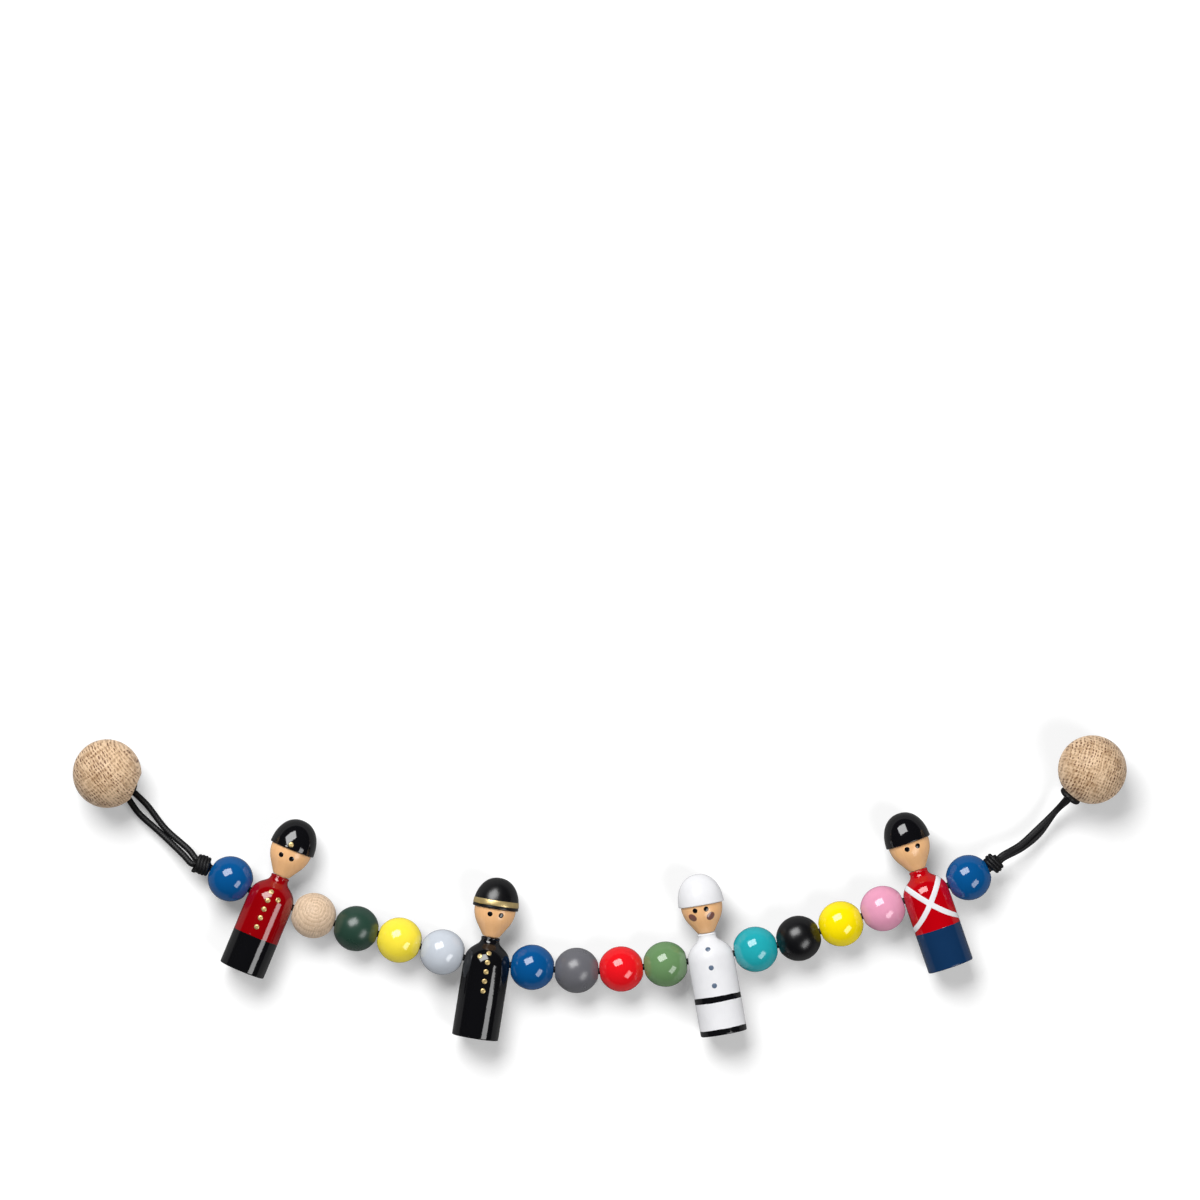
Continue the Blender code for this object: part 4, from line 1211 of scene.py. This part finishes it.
class PRAMCHAIN_OT_loops(bpy.types.Operator):
    """Tie the knots and run the doubled loops of elastic to the end balls."""

    bl_idname = "pram_chain.loops"
    bl_label = "Knots and end loops"

    # Wraps of a knot: their radius, steps to a turn, steps by which the swell starts early and ends late
    WRAP_RADIUS = 0.86 * MM
    WRAP_STEPS = 40
    SWELL_EASE = 8
    # The cut tail: how far it runs along the knot, to its side and up
    TAIL = (0.3 * MM, 3.6 * MM, 0.9 * MM)
    TAIL_STEPS = 8
    # The knot's tube
    KNOT_STEP = 0.3 * MM
    KNOT_SIDES = 24
    KNOT_RELIEF = 0.03 * MM
    # The core: share of the knot's length, depth within the wraps, and share of their swell
    CORE = ((0.1, 1.5 * MM, 0.0), (0.2, 0.6 * MM, 0.0), (0.5, 0.6 * MM, 1.0), (0.84, 0.6 * MM, 0.0),
            (0.95, 1.4 * MM, 0.0))
    CORE_RADIUS = 2.2 * MM
    # The strands: their spread inside the knot, where they leave it, the steps along them, and the stride
    # between the steps that are handed on as their path
    KNOT_PINCH = 0.75
    KNOT_EXIT = 0.3 * MM
    STRAND_STEP = 0.27 * MM
    ROUTE_STRIDE = 6
    # Where a strand begins and ends its turn with the ball, outside and inside the mouth
    BLEND_OUT = 5.0 * MM
    BLEND_IN = 1.5 * MM
    # The turn of cord on a ball's flat
    HITCH_STEPS = 96
    HITCH_SIDES = 24
    HITCH_RELIEF = 0.04 * MM

    def execute(self, context):
        sizes = context.scene.pram_chain_sizes
        for side in ENDS:
            self.add_knot(side)
            self.add_strands(side, sizes)
            self.add_hitch(side, sizes)
        return {"FINISHED"}

    def add_knot(self, side):
        """Tight wraps round a core, swelling in the middle, with the cut tail of the cord."""
        end = ENDS[side]
        turns, pitch, least, swell, lobe = end["wraps"]
        first = KNOT_SEAT_GAP + self.WRAP_RADIUS
        steps = self.WRAP_STEPS * turns
        line = []
        for i in range(steps + 1):
            turn = turns * i / steps
            angle = 2 * math.pi * turn
            bulge = swell * math.sin(math.pi * (i + self.SWELL_EASE) / (steps + 2 * self.SWELL_EASE))
            reach = least + bulge + lobe * max(0.0, math.sin(angle)) ** 2
            line.append(Vector((first + pitch * turn, reach * math.sin(angle), -reach * math.cos(angle))))
        out = line[-1].copy()
        ahead, sideways, rise = self.TAIL
        for i in range(1, self.TAIL_STEPS + 1):
            share = i / self.TAIL_STEPS
            line.append(out + Vector((ahead * share, (sideways + end["tail"]) * share, rise * share ** 2)))
        line = even_steps(line, self.KNOT_STEP)
        wraps = braided_tube(line, self.WRAP_RADIUS, self.KNOT_SIDES, self.KNOT_RELIEF)
        whole = first + pitch * turns + self.WRAP_RADIUS
        core_line = [Vector((whole * share, 0, 0)) for share, _, _ in self.CORE]
        core_radii = [least - depth + swelling * swell for _, depth, swelling in self.CORE]
        core = braided_tube(core_line, self.CORE_RADIUS, self.KNOT_SIDES, 0.0, radii=core_radii)
        knot = finished_object(f"tied_knot_{side}", joined([wraps, core]), knot_place(side), elastic())
        stand_for(knot, end["cord"], f"knot_{side}")

    def strand_stops(self, side, sizes, away):
        """Where the pair of strands passes: the spot, the pair's turn, its level direction and its spread."""
        end = ENDS[side]
        start = joint_place(f"loop_{side}_swing")
        heading = math.radians(end["heading"])
        mouth = start + Vector((math.cos(heading), math.sin(heading), 0)) * end["reach"]
        mouth.z = sizes.ball_diameter / 2 - ball_flat(sizes) * math.sin(math.radians(end["mouth_drop"]))
        ahead = Vector((mouth.x - start.x, mouth.y - start.y, 0)).normalized()
        across = Vector((-ahead.y, ahead.x, 0))
        last_across = Vector((away.y, -away.x, 0)).normalized()
        knot = knot_place(side)
        knot_end = (start - bead_mouth(side)).length
        inside = knot @ Vector((knot_end - end["strand_start"], 0, 0))
        leaving = knot @ Vector((knot_end + self.KNOT_EXIT, 0, 0))
        stops = [(inside, end["knot_pair_turn"], across, self.KNOT_PINCH),
                 (leaving, end["knot_pair_turn"], across, 1.0)]
        for share, sideways, height, turn, spacing in end["route"]:
            spot = start.lerp(mouth, share) + across * (sideways * MM)
            spot.z = height * MM
            stops.append((spot, turn, across, spacing))
        before_hitch = mouth + away * (2 * HITCH_RADIUS + 2 * FIT_GAP)
        within_ball = mouth - away * STRAND_ENTRY
        stops += [(spot, end["mouth_pair_turn"], last_across, 1.0) for spot in (before_hitch, within_ball)]
        return stops

    def add_strands(self, side, sizes):
        """The two strands of a loop, from inside the knot into the ball's socket."""
        _, away = ball_place(side, sizes)
        stops = self.strand_stops(side, sizes, away)
        for label, hand in (("near", -1.0), ("far", 1.0)):
            knots = []
            for spot, turn, sideways, share in stops:
                angle = math.radians(turn)
                offset = STRAND_SPACING / 2 * hand * share
                knots.append(spot + sideways * (offset * math.cos(angle)) + UP * (offset * math.sin(angle)))
            line = smooth_route(knots, self.STRAND_STEP)
            mesh = braided_tube(line, sizes.cord_diameter / 2)
            strand = finished_object(f"loop_strand_{side}_{label}", mesh, Matrix(), elastic())
            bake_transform(strand)
            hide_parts(f"loop_{side}_{label}")

    def add_hitch(self, side, sizes):
        """One turn of cord round the strands, against the ball's flat."""
        turn = math.radians(ENDS[side]["mouth_pair_turn"])
        clear = sizes.cord_diameter / 2 + HITCH_CLEARANCE + HITCH_RADIUS
        wide = STRAND_SPACING / 2 * math.cos(turn) + clear
        tall = STRAND_SPACING / 2 * math.sin(turn) + clear
        reach = hitch_reach(sizes)
        ring = [Vector((reach, wide * math.cos(angle), tall * math.sin(angle)))
                for angle in round_angles(self.HITCH_STEPS)]
        mesh = braided_tube(ring, HITCH_RADIUS, self.HITCH_SIDES, self.HITCH_RELIEF, closed=True)
        place, _ = ball_place(side, sizes)
        hitch = finished_object(f"loop_turn_{side}", mesh, place, elastic())
        stand_for(hitch, f"ball_{side}", f"hitch_{side}")


class PRAMCHAIN_OT_balls(bpy.types.Operator):
    """Turn the bare beech end balls, each with a flat and a socket for the loop."""

    bl_idname = "pram_chain.balls"
    bl_label = "End balls"

    # Each ball's wood: where its rings centre, how it is turned, and its rays to the metre
    GRAIN = {
        "left": ((0.05, -0.03, 0.0), (6.0, -4.0, 39.0), (800.0, 560.0, 170.0)),
        "right": ((-0.05, 0.02, 0.0), (-5.0, 6.0, -20.0), (770.0, 720.0, 170.0)),
    }
    # The left ball is worn to a second small flat: the way it faces, its drop, and its share of the radius
    WORN = {"left": (-23.5, 4.0, 0.9135)}

    def execute(self, context):
        sizes = context.scene.pram_chain_sizes
        radius = sizes.ball_diameter / 2
        outline = self.outline(radius, ball_flat(sizes))
        for side in ENDS:
            place, _ = ball_place(side, sizes)
            wood = bare_ball_wood(f"bare beech {side} ball", *self.GRAIN[side])
            mesh = turned(outline, "X", BALL_SEGMENTS)
            mesh.transform(place.to_3x3().to_4x4())
            if side in self.WORN:
                self.wear(mesh, radius, *self.WORN[side])
            ball = finished_object(f"end_ball_{side}", mesh, Matrix.Translation(place.translation), wood)
            stand_for(ball, f"ball_{side}", f"ball_{side}")
        return {"FINISHED"}

    def outline(self, radius, flat):
        """From the bottom of the socket over its mouth and the flat, and round to the back."""
        edge = math.asin((BALL_FLAT_RADIUS + BALL_RIM_EASE) / radius)
        side = [(flat - SOCKET_DEPTH, 0.0), (flat - SOCKET_DEPTH, SOCKET_RADIUS)]
        side += eased((flat - SOCKET_EASE, SOCKET_RADIUS), (flat, SOCKET_RADIUS),
                      (flat, SOCKET_RADIUS + SOCKET_EASE))
        side += eased((flat, BALL_FLAT_RADIUS - BALL_FLAT_EASE), (flat, BALL_FLAT_RADIUS),
                      on_round(radius, edge))
        side += arc((0.0, 0.0), radius, edge, math.pi, BALL_STEPS)[1:]
        return side

    def wear(self, mesh, radius, facing, drop, share):
        """Press the part of a ball that stands past a plane down onto it."""
        away = facing_down(facing, drop)
        for vertex in mesh.vertices:
            past = vertex.co.dot(away) - share * radius
            if past > 0.0:
                vertex.co -= away * past


class PRAMCHAIN_OT_beads(bpy.types.Operator):
    """Turn the beads, each bored and countersunk, and lacquer them."""

    bl_idname = "pram_chain.beads"
    bl_label = "Beads"

    FINISH = {
        "bead_01_blue": "blue_lacquer", "bead_03_dark_green": "dark_green_lacquer",
        "bead_04_yellow": "lemon_lacquer", "bead_05_pale_grey": "pale_grey_lacquer",
        "bead_06_blue": "blue_lacquer", "bead_07_slate": "slate_lacquer", "bead_08_red": "red_lacquer",
        "bead_09_sage": "sage_lacquer", "bead_10_teal": "teal_lacquer", "bead_11_black": "black_lacquer",
        "bead_12_yellow": "yellow_lacquer", "bead_13_pink": "pink_lacquer", "bead_14_blue": "blue_lacquer",
    }
    # Each end is dressed to a shallow cone that clears its neighbour at the cord's tightest bend:
    # where the cone meets the bead's axis, and its lean
    END_BY_BEAD = (9.83 * MM, math.radians(7.0))
    END_BY_FIGURE = (9.755 * MM, math.radians(9.0))

    def execute(self, context):
        radius = context.scene.pram_chain_sizes.bead_diameter / 2
        for before, station, after in zip([None, *STATIONS], STATIONS, [*STATIONS[1:], None]):
            if station in FIGURES:
                continue
            left, left_turn = self.end(radius, before)
            right, right_turn = self.end(radius, after)
            middle = arc((0.0, 0.0), radius, right_turn, math.pi - left_turn, BEAD_STEPS)[1:-1]
            outline = [*right, *middle, *[(-along, out) for along, out in reversed(left)]]
            if station == "bead_02_natural":
                slot = "natural_beech"
                finish = bare_bead_wood()
            else:
                slot = self.FINISH[station]
                finish = lacquer(slot, station == "bead_11_black")
            mesh = turned(outline, "X", BEAD_SEGMENTS, ring=True)
            bead = finished_object(station[:7], mesh, seat(spin_name(station)), finish)
            stand_for(bead, station, station)
        return {"FINISHED"}

    def end(self, radius, neighbour):
        """One end of a bead, from its bore to its round, and the angle where the round begins."""
        tip, lean = self.END_BY_FIGURE if neighbour in FIGURES else self.END_BY_BEAD

        def on_cone(out):
            return tip - out * math.tan(lean), out

        turn = lean + math.acos(tip * math.cos(lean) / radius)
        begin = turn + BEAD_EDGE / radius
        rim = radius * math.sin(turn)
        bore = BEAD_BORE_RADIUS
        mouth = on_cone(bore)
        outline = [(mouth[0] - BEAD_BORE_RUN, bore)]
        outline += eased((mouth[0] - BEAD_EDGE, bore), mouth, on_cone(bore + BEAD_EDGE))
        outline += eased(on_cone(rim - BEAD_EDGE), on_cone(rim), on_round(radius, begin), BEAD_EDGE_STEPS)
        return outline, begin


class PRAMCHAIN_OT_figures(bpy.types.Operator):
    """Turn the four figures: a bored body, a head and a hat each, lacquered in zones."""

    bl_idname = "pram_chain.figures"
    bl_label = "Turned figures"

    # Each zone: the height in mm where it starts, and its finish
    COATS = {
        "sentry": ("crimson_lacquer", [(0.0, "black_lacquer"), (16.3, "crimson_lacquer")]),
        "conductor": ("black_lacquer", [(0.0, "black_lacquer")]),
        "cook": ("white_lacquer", [(0.0, "black_lacquer"), (2.7, "white_lacquer"), (14.6, "black_lacquer"),
                                   (17.2, "white_lacquer")]),
        "guard": ("scarlet_lacquer", [(0.0, "navy_lacquer"), (17.8, "scarlet_lacquer")]),
    }
    HATS = {"sentry": "black_lacquer", "conductor": "black_lacquer", "cook": "white_lacquer",
            "guard": "black_lacquer"}
    # Slack in mm at the start of a zone
    ZONE_SLACK = 0.01

    def execute(self, context):
        sizes = context.scene.pram_chain_sizes
        for figure in FIGURES:
            self.add_coat(figure, sizes)
            self.add_head(figure, sizes)
            self.add_hat(figure, sizes)
        return {"FINISHED"}

    def settle(self, name, figure, mesh, node, slot, *materials):
        """Place a turned piece on its figure and let it stand for its node."""
        thing = finished_object(name, mesh, seat(spin_name(figure)), *materials)
        stand_for(thing, figure, f"{figure}_{node}")

    def add_coat(self, figure, sizes):
        """The body, with a low ridge of paint where one zone meets the next."""
        slot, zones = self.COATS[figure]
        finishes = list(dict.fromkeys(finish for _, finish in zones))
        top = collar_top(sizes)
        socket = NECK_PEG_RADIUS + FIT_GAP
        floor = top - NECK_PEG_LENGTH - FIT_GAP
        edges = [height * MM for height, _ in zones[1:]]
        outline = [(0.0, 0.0), *coat_side(sizes, edges), (top, socket), (floor, socket), (floor, 0.0)]

        def zone_of(level):
            height = (level + BORE_HEIGHT) / MM + self.ZONE_SLACK
            found = [finish for start, finish in zones if height >= start] or [zones[0][1]]
            return finishes.index(found[-1])

        blank = turned(on_bore(outline), "Y", COAT_SEGMENTS, zone_of=zone_of)
        for finish in finishes:
            blank.materials.append(lacquer(finish))
        self.settle(f"{figure}_coat", figure, bored(blank, sizes), "body", slot)

    def add_head(self, figure, sizes):
        """The head, with the pegs that hold it in the body and the hat on it."""
        base = head_base(sizes)
        top = base + HEAD_HEIGHT
        foot = base - NECK_PEG_LENGTH
        crown = top + CROWN_PEG_LENGTH
        outline = [(foot, 0.0), (foot, NECK_PEG_RADIUS), (base, NECK_PEG_RADIUS), *head_side(sizes),
                   (top, CROWN_PEG_RADIUS), (crown, CROWN_PEG_RADIUS), (crown, 0.0)]
        mesh = turned(on_bore(outline), "Y", HEAD_SEGMENTS)
        self.settle(f"{figure}_face", figure, mesh, "head", "flesh_lacquer", face_wood())

    def add_hat(self, figure, sizes):
        """The tall round hat, hollow where the head's crown peg enters it."""
        base = hat_base(sizes)
        crown = base + sizes.hat_height
        roof = base + CROWN_PEG_LENGTH
        socket = CROWN_PEG_RADIUS + FIT_GAP
        outline = [(roof, 0.0), (roof, socket), (base, socket), *hat_side(sizes), (crown, 0.0)]
        finish = self.HATS[figure]
        mesh = turned(on_bore(outline), "Y", HAT_SEGMENTS)
        self.settle(f"{figure}_hat", figure, mesh, "cap", finish, lacquer(finish, figure == "conductor"))


class PRAMCHAIN_OT_sentry_paint(bpy.types.Operator):
    """Paint the sentry's gold buttons, hat badge and eyes."""

    bl_idname = "pram_chain.sentry_paint"
    bl_label = "Sentry's paint"

    BUTTONS = [(37.4, -0.9), (33.4, -0.9), (29.2, -0.9), (25.1, -0.9), (20.8, -0.9), (35.2, 3.3)]
    BADGE_PLACE = (59.9 * MM, -0.8 * MM)
    BADGE_SIZE = 2.4 * MM
    EYES = (54.1 * MM, 5.0 * MM, -0.7 * MM)

    def execute(self, context):
        sizes = context.scene.pram_chain_sizes
        buttons("sentry", sizes, self.BUTTONS, gold(), GOLD_LIFT, GOLD_HOLLOW)
        badge = daub(Surface(hat_side(sizes)), *self.BADGE_PLACE, self.BADGE_SIZE, self.BADGE_SIZE, GOLD_LIFT,
                     hollow=GOLD_HOLLOW, crown=BUTTON_CROWN)
        paint_piece("sentry_badge", "sentry", [badge], gold())
        eyes("sentry", sizes, *self.EYES)
        return {"FINISHED"}


class PRAMCHAIN_OT_conductor_paint(bpy.types.Operator):
    """Paint the conductor's gold buttons, hat band and eyes."""

    bl_idname = "pram_chain.conductor_paint"
    bl_label = "Conductor's paint"

    BUTTONS = [(38.1, 0.4), (34.1, 0.4), (29.9, 0.4), (25.7, 0.4), (21.4, 0.4), (36.2, -3.4)]
    # The hat band: its lower and upper edge in mm, its lift, the steps round it and the seed of its edges
    BAND = (59.2, 61.6)
    BAND_LIFT = 0.12 * MM
    BAND_STEPS = 120
    BAND_SEED = 2.0
    EYES = (55.3 * MM, 4.95 * MM, 0.6 * MM)

    def execute(self, context):
        sizes = context.scene.pram_chain_sizes
        buttons("conductor", sizes, self.BUTTONS, gold(), GOLD_LIFT, GOLD_HOLLOW)
        low, high = self.BAND
        middle = (low + high) / 2 * MM
        path = [(middle, angle) for angle in round_angles(self.BAND_STEPS)]
        band = ribbon(Surface(hat_side(sizes)), path, (high - low) * MM, self.BAND_LIFT, self.BAND_SEED)
        paint_piece("conductor_hat_band", "conductor", [band], gold())
        eyes("conductor", sizes, *self.EYES)
        return {"FINISHED"}


class PRAMCHAIN_OT_cook_paint(bpy.types.Operator):
    """Paint the cook's grey buttons, cheeks and eyes."""

    bl_idname = "pram_chain.cook_paint"
    bl_label = "Cook's paint"

    BUTTONS = [(38.2, -0.6), (30.0, -0.6), (22.0, -0.6)]
    BUTTON_LIFT = 0.25 * MM
    # The cheeks: height and place sideways in mm, and tilt
    CHEEKS = [(52.9, -4.9, -0.64), (52.4, 3.2, 0.66)]
    CHEEK_SIZE = (4.1 * MM, 3.5 * MM)
    CHEEK_LIFT = 0.08 * MM
    EYES = (55.8 * MM, 4.95 * MM, -0.8 * MM)

    def execute(self, context):
        sizes = context.scene.pram_chain_sizes
        buttons("cook", sizes, self.BUTTONS, lacquer("grey_paint"), self.BUTTON_LIFT)
        face = Surface(head_side(sizes))
        cheeks = [daub(face, height * MM, sideways * MM, *self.CHEEK_SIZE, self.CHEEK_LIFT, tilt)
                  for height, sideways, tilt in self.CHEEKS]
        paint_piece("cook_cheeks", "cook", cheeks, lacquer("cheek_paint"))
        eyes("cook", sizes, *self.EYES)
        return {"FINISHED"}


class PRAMCHAIN_OT_guard_paint(bpy.types.Operator):
    """Paint the guard's white cross-belts and eyes."""

    bl_idname = "pram_chain.guard_paint"
    bl_label = "Guard's paint"

    # The belts: where they cross, their slope, and how they bow with the square of the way sideways
    MIDDLE = 29.5 * MM
    SLOPE = 1.1
    BOW = 0.0204 / MM
    BELT_STEPS = 160
    # Each belt: its hand and its lift, the left one over the right
    BELTS = {"right": (1.0, 0.1 * MM), "left": (-1.0, 0.13 * MM)}
    # The height of a belt is found by this many steps, each a share of the way left
    ROUNDS = 60
    PACE = 0.4
    EYES = (55.4 * MM, 4.95 * MM, 0.7 * MM)

    def execute(self, context):
        sizes = context.scene.pram_chain_sizes
        surface = Surface(coat_side(sizes))
        for label, (hand, lift) in self.BELTS.items():
            path = [self.crossing(surface, angle, hand) for angle in round_angles(self.BELT_STEPS)]
            strap = ribbon(surface, path, sizes.strap_width, lift, 1.0 + hand)
            belt = paint_piece(f"guard_crossbelt_{label}", "guard", [strap], lacquer("white_lacquer"))
        eyes("guard", sizes, *self.EYES)
        return {"FINISHED"}

    def crossing(self, surface, angle, hand):
        """Height of a belt at an angle round the body."""
        height = self.MIDDLE
        for _ in range(self.ROUNDS):
            sideways = surface.at(height)[0] * math.sin(angle) * hand
            level = self.MIDDLE - self.SLOPE * sideways + self.BOW * sideways ** 2
            height += self.PACE * (level - height)
        return height, angle


class PRAMCHAIN_PT_sidebar(bpy.types.Panel):
    """Sizes, colours and steps of the pram chain."""

    bl_idname = "PRAMCHAIN_PT_sidebar"
    bl_label = "Pram chain"
    bl_space_type = "VIEW_3D"
    bl_region_type = "UI"
    bl_category = "Pram chain"

    def draw(self, context):
        for settings in (context.scene.pram_chain_sizes, context.scene.pram_chain_colours):
            box = self.layout.box()
            for name in type(settings).__annotations__:
                box.prop(settings, name)
        for step in STEPS:
            self.layout.operator(step.bl_idname)


STEPS = (
    PRAMCHAIN_OT_stage, PRAMCHAIN_OT_elastic, PRAMCHAIN_OT_loops, PRAMCHAIN_OT_balls, PRAMCHAIN_OT_beads,
    PRAMCHAIN_OT_figures, PRAMCHAIN_OT_sentry_paint, PRAMCHAIN_OT_conductor_paint, PRAMCHAIN_OT_cook_paint,
    PRAMCHAIN_OT_guard_paint,
)
CLASSES = (PramChainSizes, PramChainColours, *STEPS, PRAMCHAIN_PT_sidebar)


def register():
    """Make the settings, steps and panel known to Blender."""
    for item in CLASSES:
        bpy.utils.register_class(item)
    bpy.types.Scene.pram_chain_sizes = bpy.props.PointerProperty(type=PramChainSizes)
    bpy.types.Scene.pram_chain_colours = bpy.props.PointerProperty(type=PramChainColours)


def unregister():
    """Take them away again."""
    del bpy.types.Scene.pram_chain_colours
    del bpy.types.Scene.pram_chain_sizes
    for item in reversed(CLASSES):
        bpy.utils.unregister_class(item)


def main():
    """Dress the whole chain."""
    register()
    bpy.ops.pram_chain.stage()
    bpy.ops.pram_chain.elastic()
    bpy.ops.pram_chain.loops()
    bpy.ops.pram_chain.balls()
    bpy.ops.pram_chain.beads()
    bpy.ops.pram_chain.figures()
    bpy.ops.pram_chain.sentry_paint()
    bpy.ops.pram_chain.conductor_paint()
    bpy.ops.pram_chain.cook_paint()
    bpy.ops.pram_chain.guard_paint()


if __name__ == "__main__":
    main()
